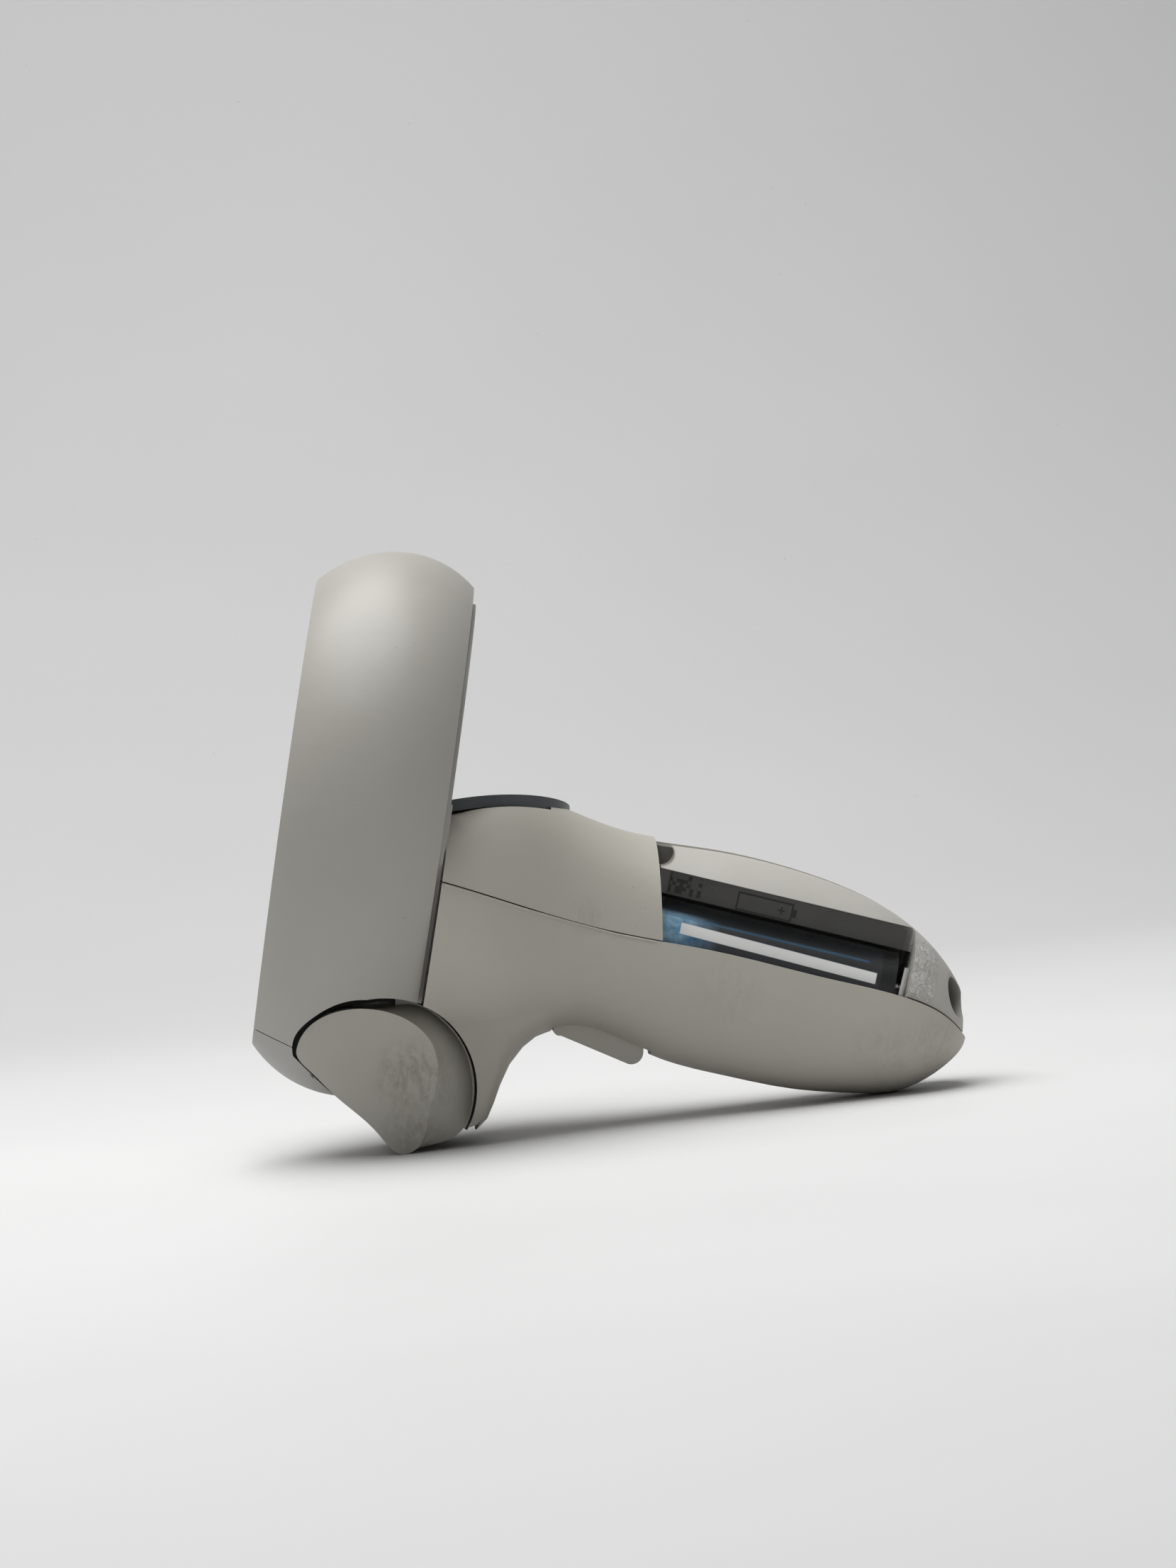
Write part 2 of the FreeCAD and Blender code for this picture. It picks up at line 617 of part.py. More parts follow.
def lower_shell(wall):
    shell = wall.common(seam_side(SEAM_GAP / 2, False))
    x, z = TRIGGER_PIVOT
    slot = box(x - LUG_R - PART_GAP, x + LUG_R + PART_GAP, -LUG_HALF - PART_GAP, LUG_HALF + PART_GAP, z, 24)
    shell = shell.cut(slot).cut(grip_outline(PART_GAP, GRIP_REAR_GAP))
    inner = hull_loft(SHELL_WALL / 2)
    shell = shell.fuse(grip_ears().common(inner)).fuse(motor_saddles().common(inner))
    return largest(shell.cut(grip_bar(GRIP_PIN_R + PIN_SEAT)))


def motor_saddles():
    """Two ribs on the neck's floor that carry the haptic motor."""
    x, z = HAPTIC_AT
    top = z - HAPTIC_R - PART_GAP
    ribs = [box(x - 3.0, x + 3.0, y - 1.0, y + 1.0, top - 9, top) for y in (-5.0, 5.0)]
    return Part.makeCompound(ribs)


def front_cover():
    """Panel that closes the front of the head, inside the ring."""
    panel = egg_prism(RING_BAND + PART_GAP, COVER_FRONT, CORE_FRONT - SEAM_GAP)
    panel = moved(panel, RING_FRAME)
    return largest(panel.cut(deck_layer(-PLATE_THICK - PLATE_GAP, 60)).cut(trigger_room(0)))


def face_plate():
    plate = deck_layer(-PLATE_THICK, 0).common(plate_oval(0))
    plate = plate.cut(deck_bar(STICK_HOLE_R, STICK_AT, -8, 8))
    for at in BUTTONS_AT:
        plate = plate.cut(deck_bar(BUTTON_R + BUTTON_GAP, at, -8, 8))
    return plate.cut(deck_bar(HOME_R + BUTTON_GAP, HOME_AT, -8, 8))


# ---- battery bay -----------------------------------------------------------------------------
def in_cell(shape):
    return moved(shape, CELL_FRAME)


def battery_bay():
    """Frame in the handle: back wall and ends of the bay, and the flange under the lost cover."""
    wall = SHELL_WALL + PART_GAP
    back_y = CELL_R + BAY_CLEAR
    block = hull_loft(wall).common(in_cell(box(-SPRING_ROOM - BAY_END, 66, -30, back_y + BAY_END,
                                               -CELL_R - BAY_CLEAR - BAY_END, BAY_TOP + BAY_END)))
    flange = hull_loft(COVER_THICK).common(open_side(PART_GAP)).common(seam_side(SEAM_GAP, True))
    frame = block.fuse(flange)
    trough = in_cell(box(-SPRING_ROOM, CELL_LENGTH + 1.0, -30, back_y, -CELL_R - BAY_CLEAR, CELL_R + BAY_CLEAR))
    shelf = in_cell(box(-SPRING_ROOM, CELL_LENGTH + 1.0, -30, SHELF_Y - CELL_Y, CELL_R, BAY_TOP))
    frame = frame.cut(trough).cut(shelf)
    for hole in latch_holes():
        frame = frame.cut(hole)
    return largest(frame)


def latch_holes():
    """Blind holes that the battery cover's pegs would enter."""
    front = Part.makeCylinder(LATCH_HOLE_R, 20, V(FRONT_HOLE[0], FRONT_HOLE[1] + LATCH_HOLE_DEPTH, FRONT_HOLE[2]),
                              V(0, -1, 0))
    aim = V(math.sin(math.radians(END_HOLE_TURN)), -math.cos(math.radians(END_HOLE_TURN)), 0)
    mouth = V(*END_HOLE)
    end = Part.makeCylinder(END_HOLE_R, 20, mouth - aim * LATCH_HOLE_DEPTH, aim)
    return front, end


def bay_liner():
    """Dark strip on the wall behind and over the cell."""
    face = SHELF_Y - CELL_Y
    return in_cell(box(LINER_START, CELL_LENGTH - 0.5, face - LINER_THICK - 0.02, face - 0.02,
                       CELL_R + BAY_CLEAR + 0.1, BAY_TOP - 0.1))


def battery_cell():
    """AA cell: can, flat negative end and positive nub."""
    can = Part.makeCylinder(CELL_R, CELL_LENGTH - 1.6, V(0.5, 0, 0), V(1, 0, 0))
    base = Part.makeCylinder(CELL_R - 1.8, 0.6, V(0, 0, 0), V(1, 0, 0))
    nub = Part.makeCylinder(2.7, 1.2, V(CELL_LENGTH - 1.2, 0, 0), V(1, 0, 0))
    return in_cell(can.fuse([base, nub]).removeSplitter())


def cell_spring():
    """Coil at the negative end, on its own plate."""
    path = Part.Wire(Part.makeHelix(1.25, SPRING_ROOM - 1.4, 3.4))
    ring = Part.Wire(Part.makeCircle(0.3, V(3.4, 0, 0), V(0, 1, 0)))
    coil = path.makePipeShell([ring], True, True)
    coil.rotate(V(0, 0, 0), V(0, 1, 0), -90)
    coil.translate(V(-0.35, 0, 0))
    plate = box(-SPRING_ROOM + 0.05, -SPRING_ROOM + 0.5, -5, 5, -5, 5)
    return in_cell(Part.makeCompound([coil, plate]))


def cell_contact():
    """Plate that meets the positive nub."""
    return in_cell(box(CELL_LENGTH + 0.05, CELL_LENGTH + 0.95, -4.5, 4.5, -5, 5))


# ---- thumb controls --------------------------------------------------------------------------
def stick_bar(radius, low, high):
    """Round bar on the stick's axis, heights from its pivot."""
    return deck_bar(radius, STICK_AT, low - STICK_PIVOT_DEPTH, high - STICK_PIVOT_DEPTH)


def stick_box(half_x, half_y, low, high):
    x, y = STICK_AT
    return deck_box(x - half_x, x + half_x, y - half_y, y + half_y,
                    low - STICK_PIVOT_DEPTH, high - STICK_PIVOT_DEPTH)


def stick_axle(radius, reach, along_x):
    """Bar through the stick's pivot, along the plate or across it."""
    x, y = STICK_AT
    start = V(x - reach, y, -STICK_PIVOT_DEPTH) if along_x else V(x, y - reach, -STICK_PIVOT_DEPTH)
    return on_deck(Part.makeCylinder(radius, 2 * reach, start, V(1, 0, 0) if along_x else V(0, 1, 0)))


def stick_housing():
    outer = stick_box(HOUSING_HALF, HOUSING_HALF, -6.0, 2.2)
    room = stick_box(HOUSING_HALF - 1.3, HOUSING_HALF - 1.3, -5.0, 5)
    return outer.cut(room).cut(stick_axle(YOKE_PIN_R + RUN_GAP, HOUSING_HALF + 1, True))


def stick_yoke():
    """Square frame that tilts fore and aft, on two stub pins."""
    frame = stick_box(YOKE_HALF, YOKE_HALF, -1.5, 1.5).fuse(stick_axle(YOKE_PIN_R, HOUSING_HALF - 0.2, True))
    frame = frame.cut(stick_box(YOKE_ROOM, YOKE_ROOM, -3, 3))
    return frame.cut(stick_axle(HUB_PIN_R + RUN_GAP, YOKE_HALF + 1, False)).removeSplitter()


def stick_hub():
    """Block that tilts from side to side in the yoke and guides the shaft."""
    hub = stick_box(HUB_HALF, HUB_HALF, -1.6, 1.6).fuse(stick_axle(HUB_PIN_R, YOKE_HALF - 0.2, False))
    return hub.cut(stick_bar(STICK_SHAFT_R + RUN_GAP, -4, 4)).removeSplitter()


def stick_shaft():
    """Post with the skirt that hides the pivot."""
    top = STICK_PIVOT_DEPTH + STICK_RISE
    post = stick_bar(STICK_SHAFT_R, -2.6, top)
    centre = V(STICK_AT[0], STICK_AT[1], -STICK_PIVOT_DEPTH)
    skirt = Part.makeSphere(STICK_DOME_R, centre).cut(Part.makeSphere(STICK_DOME_R - 0.9, centre))
    keep = Part.makeBox(40, 40, 40, centre + V(-20, -20, STICK_DOME_R * 0.6))
    return post.fuse(on_deck(skirt.common(keep))).removeSplitter()


def stick_cap():
    """Shallow dished thumb pad with a rounded rim."""
    under = STICK_RISE + 0.02
    pad = Part.makeCylinder(STICK_CAP_R, STICK_CAP_THICK, V(STICK_AT[0], STICK_AT[1], under))
    pad = pad.makeFillet(1.1, [edge for edge in pad.Edges if len(edge.Vertexes) == 1])
    dish_r = 16.0
    dish = Part.makeSphere(dish_r, V(STICK_AT[0], STICK_AT[1], under + STICK_CAP_THICK + dish_r - 1.0))
    return on_deck(pad.cut(dish))


def press_button(at, radius, proud):
    """Button with a flange that the plate keeps in."""
    body = Part.makeCylinder(radius, proud + BUTTON_DEPTH, V(at[0], at[1], -BUTTON_DEPTH))
    top = [edge for edge in body.Edges if abs(edge.CenterOfMass.z - proud) < 0.01]
    body = body.makeFillet(BUTTON_ROUND, top)
    flange = Part.makeCylinder(radius + 0.8, 0.8, V(at[0], at[1], -BUTTON_DEPTH))
    return on_deck(body.fuse(flange).removeSplitter())


def button_mat():
    """Rubber sheet under the buttons."""
    long_arm = deck_box(-17.5, 5.5, 5.5, 16.0, MAT_LOW, MAT_LOW + 0.7)
    side_arm = deck_box(2.0, 15.5, -12.5, 16.0, MAT_LOW, MAT_LOW + 0.7)
    return long_arm.fuse(side_arm).removeSplitter()


POSTS_AT = ((-16.0, 13.5), (13.0, 13.0), (13.0, -11.0))


def mid_frame():
    """Chassis plate that carries the stick and the mat, with posts for the board."""
    top = MAT_LOW - 0.1
    plate = deck_box(-18.0, 15.5, -16.0, 16.0, top - 1.3, top)
    reach = HOUSING_HALF + PART_GAP
    x, y = STICK_AT
    plate = plate.cut(deck_box(x - reach, x + reach, y - reach, y + reach, top - 3, top + 3))
    plate = plate.cut(deck_box(-30, x + reach, y - reach - 9, y - reach + 0.01, top - 3, top + 3))
    for at in POSTS_AT:
        plate = plate.fuse(deck_bar(2.2, at, BOARD_TOP + 0.05, top - 0.5))
    for at in POSTS_AT:
        plate = plate.cut(deck_bar(0.95, at, BOARD_TOP - 1, top - 2))
    return largest(plate.removeSplitter())


def main_board():
    board = deck_box(-19.0, 15.5, -15.0, 15.5, BOARD_TOP - BOARD_THICK, BOARD_TOP)
    for at in POSTS_AT:
        board = board.cut(deck_bar(1.15, at, BOARD_TOP - 5, BOARD_TOP + 5))
    return board


def board_screws():
    screws = []
    for at in POSTS_AT:
        shank = deck_bar(0.9, at, BOARD_TOP - BOARD_THICK - 0.5, BOARD_TOP + 5)
        head = deck_bar(1.9, at, BOARD_TOP - BOARD_THICK - 1.3, BOARD_TOP - BOARD_THICK - 0.05)
        screws.append(shank.fuse(head).removeSplitter())
    return Part.makeCompound(screws)


def haptic_motor():
    """Rumble actuator, a round-ended can lying across the neck."""
    x, z = HAPTIC_AT
    can = across(HAPTIC_R, x, z, -HAPTIC_HALF, HAPTIC_HALF)
    return can.fuse(box(x - HAPTIC_R, x + HAPTIC_R, -HAPTIC_HALF, HAPTIC_HALF, z - HAPTIC_R, z)).removeSplitter()


# ---- grip button -----------------------------------------------------------------------------
def grip_outline(side_gap, rear_gap):
    """Side view of the grip button, grown by its clearances and cut across."""
    y0 = GRIP_Y0 - side_gap
    front, rear = -8.3 - side_gap, 5.0 + rear_gap
    corner = V(front + 1.2, y0, 9.9 - side_gap)
    tail = V(rear - 1.0, y0, 5.2 - side_gap - rear_gap * 0.4)
    points = [V(front, y0, 17.2), V(front, y0, 10.9)]
    heel = V(rear + 1.5, y0, 7.0)
    crown_back = V(rear + 1.7, y0, 12.0 + side_gap)
    edges = [Part.makeLine(points[0], points[1]),
             arc(points[1], (points[1] + corner) * 0.5 + V(-0.25, 0, -0.3), corner),
             Part.makeLine(corner, tail), arc(tail, V(rear + 0.4, y0, 5.35 - rear_gap * 0.3), heel),
             Part.makeLine(heel, crown_back), Part.makeLine(crown_back, V(-3.0, y0, 17.2)),
             Part.makeLine(V(-3.0, y0, 17.2), points[0])]
    return slab(edges, y0, GRIP_Y1 + side_gap)


def grip_bar(radius):
    return across(radius, GRIP_PIVOT[0], GRIP_PIVOT[1], GRIP_Y0 - 2.2, GRIP_Y1 + 2.2)


def grip_ears():
    """Two cheeks inside the neck that hold the grip button's pin."""
    x, z = GRIP_PIVOT
    cheeks = []
    for y in (GRIP_Y0 - 2.2, GRIP_Y1 + 0.5):
        cheeks.append(box(x - 2.6, x + 2.4, y, y + 1.7, z - 5, z + 2.2))
    return Part.makeCompound(cheeks)


def grip_button():
    """Paddle under the middle finger, with a slot for its spring."""
    body = grip_outline(0, 0).cut(across(GRIP_PIN_R + RUN_GAP, *GRIP_PIVOT, GRIP_Y0 - 1, GRIP_Y1 + 1))
    return body.cut(across(GRIP_SPRING_R + 0.7, *GRIP_PIVOT, *grip_spring_span(0.5)))


def grip_spring_span(gap):
    middle = (GRIP_Y0 + GRIP_Y1) / 2
    return middle - GRIP_SPRING_LENGTH / 2 - gap, middle + GRIP_SPRING_LENGTH / 2 + gap


def grip_spring():
    """Return spring wound round the grip button's pin."""
    coil = pin_coil(GRIP_SPRING_R, GRIP_SPRING_WIRE, GRIP_SPRING_LENGTH, SPRING_TURNS)
    coil.translate(V(GRIP_PIVOT[0], grip_spring_span(0)[0], GRIP_PIVOT[1]))
    return coil


# ---- the whole -------------------------------------------------------------------------------
def build():
    wall = shell_wall()
    return {
        "ring_outer_shell": ring_outer_shell(), "ring_inner_shell": ring_inner_shell(),
        "ring_foot": ring_foot(), "ring_led_board": ring_led_board(), "ring_leds": ring_leds(),
        "front_cover": front_cover(), "upper_shell": upper_shell(wall),
        "lower_shell": lower_shell(wall), "face_plate": face_plate(),
        "battery_bay": battery_bay(), "bay_liner": bay_liner(), "battery_cell": battery_cell(),
        "cell_spring": cell_spring(), "cell_contact": cell_contact(),
        "stick_housing": stick_housing(), "stick_yoke": stick_yoke(), "stick_hub": stick_hub(),
        "stick_shaft": stick_shaft(), "stick_cap": stick_cap(),
        "button_front": press_button(BUTTONS_AT[0], BUTTON_R, BUTTON_PROUD),
        "button_rear": press_button(BUTTONS_AT[1], BUTTON_R, BUTTON_PROUD),
        "home_button": press_button(HOME_AT, HOME_R, HOME_PROUD),
        "button_mat": button_mat(), "mid_frame": mid_frame(), "main_board": main_board(),
        "board_screws": board_screws(), "haptic_motor": haptic_motor(),
        "trigger": trigger(), "trigger_pin": trigger_pin(), "trigger_bracket": trigger_bracket(),
        "trigger_spring": trigger_spring(), "grip_button": grip_button(),
        "grip_pin": grip_bar(GRIP_PIN_R), "grip_spring": grip_spring(),
    }


def rest_placement(shapes):
    """Turn onto the resting plane, with the origin at the middle of the box's bottom."""
    turn = FreeCAD.Placement(V(0, 0, 0), FreeCAD.Rotation(V(0, 1, 0), REST_PITCH))
    whole = Part.makeCompound([moved(shape, turn) for shape in shapes.values()])
    bounds = whole.optimalBoundingBox(True, False)
    middle = V((bounds.XMin + bounds.XMax) / 2, (bounds.YMin + bounds.YMax) / 2, bounds.ZMin)
    return FreeCAD.Placement(middle * -1, FreeCAD.Rotation()).multiply(turn)


def main():
    os.makedirs("parts", exist_ok=True)
    shapes = build()
    placement = rest_placement(shapes)
    for name, shape in shapes.items():
        moved(shape, placement).exportStep("parts/%s.step" % name)


if __name__ == "__main__":
    main()
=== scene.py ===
"""A right-hand motion controller at rest on a pale sweep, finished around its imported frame."""

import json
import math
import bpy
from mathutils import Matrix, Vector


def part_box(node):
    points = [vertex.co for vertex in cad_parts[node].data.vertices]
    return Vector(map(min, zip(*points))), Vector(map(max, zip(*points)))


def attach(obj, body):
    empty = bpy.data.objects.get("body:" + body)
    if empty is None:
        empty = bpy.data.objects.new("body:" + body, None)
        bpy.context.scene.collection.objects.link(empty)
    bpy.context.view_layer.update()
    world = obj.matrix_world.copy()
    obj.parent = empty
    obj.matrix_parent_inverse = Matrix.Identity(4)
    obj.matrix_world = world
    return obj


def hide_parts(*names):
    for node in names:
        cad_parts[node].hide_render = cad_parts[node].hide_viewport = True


bl_info = {
    "name": "Hand Controller",
    "version": (1, 0, 0),
    "blender": (4, 5, 0),
    "location": "View3D > Sidebar > Controller",
    "description": "Finishes a motion controller with a tracking ring, trigger, stick and open battery bay",
    "category": "Object",
}

import bmesh
import bpy
from mathutils import Matrix, Vector

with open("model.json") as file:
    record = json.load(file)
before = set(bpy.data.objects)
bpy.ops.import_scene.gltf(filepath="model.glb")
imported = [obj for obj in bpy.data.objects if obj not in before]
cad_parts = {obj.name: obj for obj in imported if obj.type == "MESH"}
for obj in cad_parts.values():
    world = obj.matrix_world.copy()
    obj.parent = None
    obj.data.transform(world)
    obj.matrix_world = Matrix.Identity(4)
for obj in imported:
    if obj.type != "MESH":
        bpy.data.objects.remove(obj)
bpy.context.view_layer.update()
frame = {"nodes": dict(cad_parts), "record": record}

MM = 0.001
# the controller's own axes, X to the handle's end and Z to the face plate, against the resting plane
REST_PITCH = math.radians(6.4)
REST_SHIFT = Vector((-2.18, 0.0, 5.19))
OWN = Matrix.Translation(REST_SHIFT * MM) @ Matrix.Rotation(REST_PITCH, 4, "Y")

# from here to the trigger's webs, places and sizes are millimetres in those axes
# the cell's axis: its negative end, slope and side offset
CELL_START = (-0.6, 28.0)
CELL_SLOPE = math.radians(-13.5)
CELL_Y = -5.4

# brightness of the mouldings
SHELL_LEVEL = 0.445
RING_LEVEL = 0.365

# boxes on the bay's label and the cell's sleeve: from and to along the cell, then up from its axis
SYMBOL_BOX = (21.1, 30.3, 7.9, 10.7)
SYMBOL_LINE = 0.16
BLOCK_BOX = (9.3, 14.9, 8.1, 11.3)
BLOCK_SQUARE = 0.62
# painted highlight on the cell's sleeve: a pale band, then the slope of its lower edge
CELL_HIGHLIGHT_BOX = (12.5, 45.6, 2.15, 3.95)
CELL_HIGHLIGHT_SLOPE = 0.02
STRIPE_BOX = (9.0, 44.0, 4.35, 4.75)
BLUE_END = (15.5, 4.9)
BLACK_END = 46.3
BAY_INSIDE = (-1.5, 50.6, -8.0, 11.66)
TAPE_BOX = (50.9, 55.2, -6.0, 9.5)

# latch holes and the face plate's slopes
FRONT_HOLE = (9.4, 40.2)
END_HOLE = (54.5, -5.1, 16.1)
PLATE_SLOPE = math.radians(11.7)
PLATE_TILT = math.radians(8.0)

# the seam between the shells, from the ring to the bay, seen from the side
SEAM = ((-26.9, 35.7), (-20.0, 33.6), (-12.9, 31.3), (-6.0, 29.25), (1.2, 27.3), (8.0, 25.95))
SEAM_STEPS = 60
LOOK_FROM = 60.0

# rubbed places: centre, radius, strength
SHELL_MARKS = (
    ((-20.0, -18.0, 24.0), 5.5, 0.30),
    ((-3.0, -19.0, 30.0), 4.0, 0.18),
    ((20.0, -17.0, 18.0), 7.0, 0.12),
    ((46.0, -16.0, 6.0), 8.0, 0.22),
    ((54.0, -12.0, 9.0), 6.0, 0.25),
    ((52.0, -16.0, 28.0), 6.0, 0.12),
)
TRIGGER_MARKS = (
    ((-31.0, -15.5, 4.0), 8.0, 0.55),
    ((-31.5, -14.5, -5.0), 6.0, 0.45),
    ((-34.0, -16.0, -9.0), 4.0, 0.5),
)
RING_MARKS = (
    ((-54.0, -30.0, 62.0), 5.0, 0.10),
    ((-20.0, -34.0, 50.0), 7.0, 0.10),
)

# the trigger's opening seen from the side, and the dark webs that close the view through its gap, standing
# in for the shade there
TRIGGER_AXIS = (-36.35, 1.76)
OPENING_R = 15.25
GUARD_SIDE = ((-48.6, 4.2), (-50.95, 7.0), (-50.75, 9.4), (-50.3, 11.0), (-47.9, 13.5), (-44.0, 15.9))
GUARD_FROM, GUARD_TO = 100.0, -27.0
GUARD_STEPS = 22
GUARD_REACH, GUARD_ROOT = 0.2, 1.3
GUARD_Y, GUARD_THICK = 9.2, 0.5

# the stage: camera in own millimetres, the rest in metres
CAMERA_SPOT, CAMERA_AIM = (-39.0, -750.0, 51.3), (-2.35, 0.0, 51.3)
SWEEP_FRONT, SWEEP_TOP, SWEEP_HALF_WIDTH = -2.0, 2.5, 3.0
SWEEP_STEPS = 24
ROOM_COLOUR, ROOM_STRENGTH = (0.94, 0.97, 1.0, 1), 0.18

# points of a CAD mesh closer than this are merged
MERGE = 0.002 * MM


def own(x, y, z):
    """A point in the controller's own millimetres, as a place in the scene."""
    return OWN @ (Vector((x, y, z)) * MM)


# ---- shader maths ---------------------------------------------------------------------------
class Value:
    """A node's output that can be used in an expression."""

    def __init__(self, tree, socket):
        self.tree = tree
        self.socket = socket

    def feed(self, target, source):
        if isinstance(source, Value):
            self.tree.links.new(source.socket, target)
        else:
            target.default_value = source

    def maths(self, operation, *others):
        node = self.tree.nodes.new("ShaderNodeMath")
        node.operation = operation
        for target, source in zip(node.inputs, (self,) + others):
            self.feed(target, source)
        return Value(self.tree, node.outputs[0])

    def flipped(self, operation, other):
        node = self.tree.nodes.new("ShaderNodeMath")
        node.operation = operation
        self.feed(node.inputs[0], other)
        self.feed(node.inputs[1], self)
        return Value(self.tree, node.outputs[0])

    def __add__(self, other):
        return self.maths("ADD", other)

    __radd__ = __add__

    def __sub__(self, other):
        return self.maths("SUBTRACT", other)

    def __rsub__(self, other):
        return self.flipped("SUBTRACT", other)

    def __mul__(self, other):
        return self.maths("MULTIPLY", other)

    def __truediv__(self, other):
        return self.maths("DIVIDE", other)

    def __pow__(self, other):
        return self.maths("POWER", other)

    def floor(self):
        return self.maths("FLOOR")

    def above(self, edge, soft):
        """0 below the edge and 1 above it, over a soft step."""
        return ((self - (edge - soft)) / (2 * soft)).maths("MAXIMUM", 0.0).maths("MINIMUM", 1.0)

    def within(self, low, high, soft):
        return self.above(low, soft) * (1 - self.above(high, soft))


class Finish:
    """A material under construction: its coordinates, its shader and a way to add nodes."""

    def __init__(self, name, **constants):
        self.material = bpy.data.materials.new(name)
        self.material.use_nodes = True
        self.tree = self.material.node_tree
        self.shader = self.tree.nodes["Principled BSDF"]
        for socket, value in constants.items():
            self.shader.inputs[socket.replace("_", " ")].default_value = value

    def node(self, kind, settings=None, inputs=None, output=0):
        """Any node by its type, its settings first, then its sockets' values or links."""
        made = self.tree.nodes.new(kind)
        for name, value in (settings or {}).items():
            setattr(made, name, value)
        for key, value in (inputs or {}).items():
            if isinstance(value, Value):
                self.tree.links.new(value.socket, made.inputs[key])
            else:
                made.inputs[key].default_value = value
        return Value(self.tree, made.outputs[output])

    def set(self, socket, value):
        self.tree.links.new(value.socket, self.shader.inputs[socket])

    def place(self):
        """The surface's place in the controller's own millimetres, as a vector and three values."""
        spot = self.node("ShaderNodeTexCoord", output=3)
        turn = Matrix.Rotation(-REST_PITCH, 3, "Y")
        vector = self.node("ShaderNodeMapping", None, {
            0: spot, 1: turn @ (REST_SHIFT * -1), 2: (0, -REST_PITCH, 0), 3: (1 / MM,) * 3})
        split = self.tree.nodes.new("ShaderNodeSeparateXYZ")
        self.tree.links.new(vector.socket, split.inputs[0])
        return vector, [Value(self.tree, out) for out in split.outputs]

    def noise(self, vector, size, detail=2.0, rough=0.5, distortion=0.0, stretch=None):
        """Noise whose features are about size millimetres across."""
        if stretch:
            vector = self.node("ShaderNodeMapping", None, {0: vector, 3: stretch})
        return self.node("ShaderNodeTexNoise", None, {
            "Vector": vector, "Scale": 1.0 / size, "Detail": detail, "Roughness": rough,
            "Distortion": distortion})

    def mix(self, factor, first, second):
        return self.node("ShaderNodeMix", {"data_type": "RGBA"}, {0: factor, 6: first, 7: second}, 2)

    def bump(self, height, depth, strength=1.0, below=None):
        """A height field, depth millimetres from 0 to 1."""
        inputs = {"Height": height, "Distance": depth * MM, "Strength": strength}
        if below:
            inputs["Normal"] = below
        return self.node("ShaderNodeBump", None, inputs)


def grey(level, warm=0.0):
    """A neutral colour, warmed by taking a little green and more blue out of it."""
    return (level, level * (1 - 0.45 * warm), level * (1 - 1.6 * warm), 1.0)


def near(axes, centre, radius):
    """1 at a spot in own millimetres, fading to 0 at the radius."""
    total = None
    for axis, middle in zip(axes, centre):
        part = (axis - middle) ** 2.0
        total = part if total is None else total + part
    return (1 - total / (radius * radius)).maths("MAXIMUM", 0.0)


# ---- finishes -------------------------------------------------------------------------------
def shell_plastic(name, level, marks, roughness=0.5, warm=0.07):
    """Fine-grained warm grey moulding with faint mottling, small specks and rubbed marks."""
    finish = Finish(name, Specular_IOR_Level=0.45)
    vector, axes = finish.place()
    grain = finish.noise(vector, 0.22, 3.0, 0.6)
    cloud = finish.noise(vector, 14.0, 3.0)
    speck = finish.noise(vector, 1.1, 2.0, 0.65).above(0.735, 0.012)
    colour = finish.mix(cloud.within(0.35, 2.0, 0.22), grey(level * 0.965, warm * 1.15), grey(level, warm))
    colour = finish.mix(grain * 0.05, colour, grey(level * 0.6, warm))
    rubbed = None
    for centre, radius, strength in marks:
        mark = near(axes, centre, radius) * strength
        rubbed = mark if rubbed is None else rubbed.maths("MAXIMUM", mark)
    if rubbed is not None:
        streaks = finish.noise(vector, 1.3, 4.0, 0.7, 0.6, (1.0, 1.0, 0.45)).above(0.52, 0.12)
        rubbed = rubbed * streaks
        colour = finish.mix(rubbed, colour, grey(level * 0.42, warm * 2.2))
        speck = speck.maths("MAXIMUM", rubbed * 0.3)
    colour = finish.mix(speck * 0.22, colour, grey(level * 0.4, warm * 2.0))
    finish.set("Base Color", colour)
    finish.set("Roughness", roughness + (cloud - 0.5) * 0.12 + grain * 0.06)
    finish.set("Normal", finish.bump(grain, 0.02, 0.55))
    return finish.material


def plain_plastic(name, colour, roughness, grain_depth=0.012, grain_size=0.25, level=0.5):
    finish = Finish(name, Specular_IOR_Level=level)
    vector = finish.place()[0]
    grain = finish.noise(vector, grain_size, 3.0, 0.6)
    lighter = tuple(min(1.0, c * 1.25 + 0.004) for c in colour[:3]) + (1.0,)
    dust = finish.noise(vector, 3.0, 4.0, 0.7)
    finish.set("Base Color", finish.mix(dust.within(0.45, 2.0, 0.25), colour, lighter))
    finish.set("Roughness", roughness + (dust - 0.5) * 0.2)
    finish.set("Normal", finish.bump(grain, grain_depth, 0.6))
    return finish.material


def metal(name, level, roughness):
    finish = Finish(name, Metallic=1.0)
    vector = finish.place()[0]
    cloud = finish.noise(vector, 2.0, 4.0, 0.7)
    finish.set("Base Color", finish.mix(cloud, grey(level * 0.8, 0.02), grey(level, 0.03)))
    finish.set("Roughness", roughness + (cloud - 0.5) * 0.2)
    return finish.material


def along_cell(axes):
    """Distances along the cell from its flat end and up from its axis."""
    run, rise = axes[0] - CELL_START[0], axes[2] - CELL_START[1]
    c, s = math.cos(CELL_SLOPE), math.sin(CELL_SLOPE)
    return run * c + rise * s, rise * c - run * s


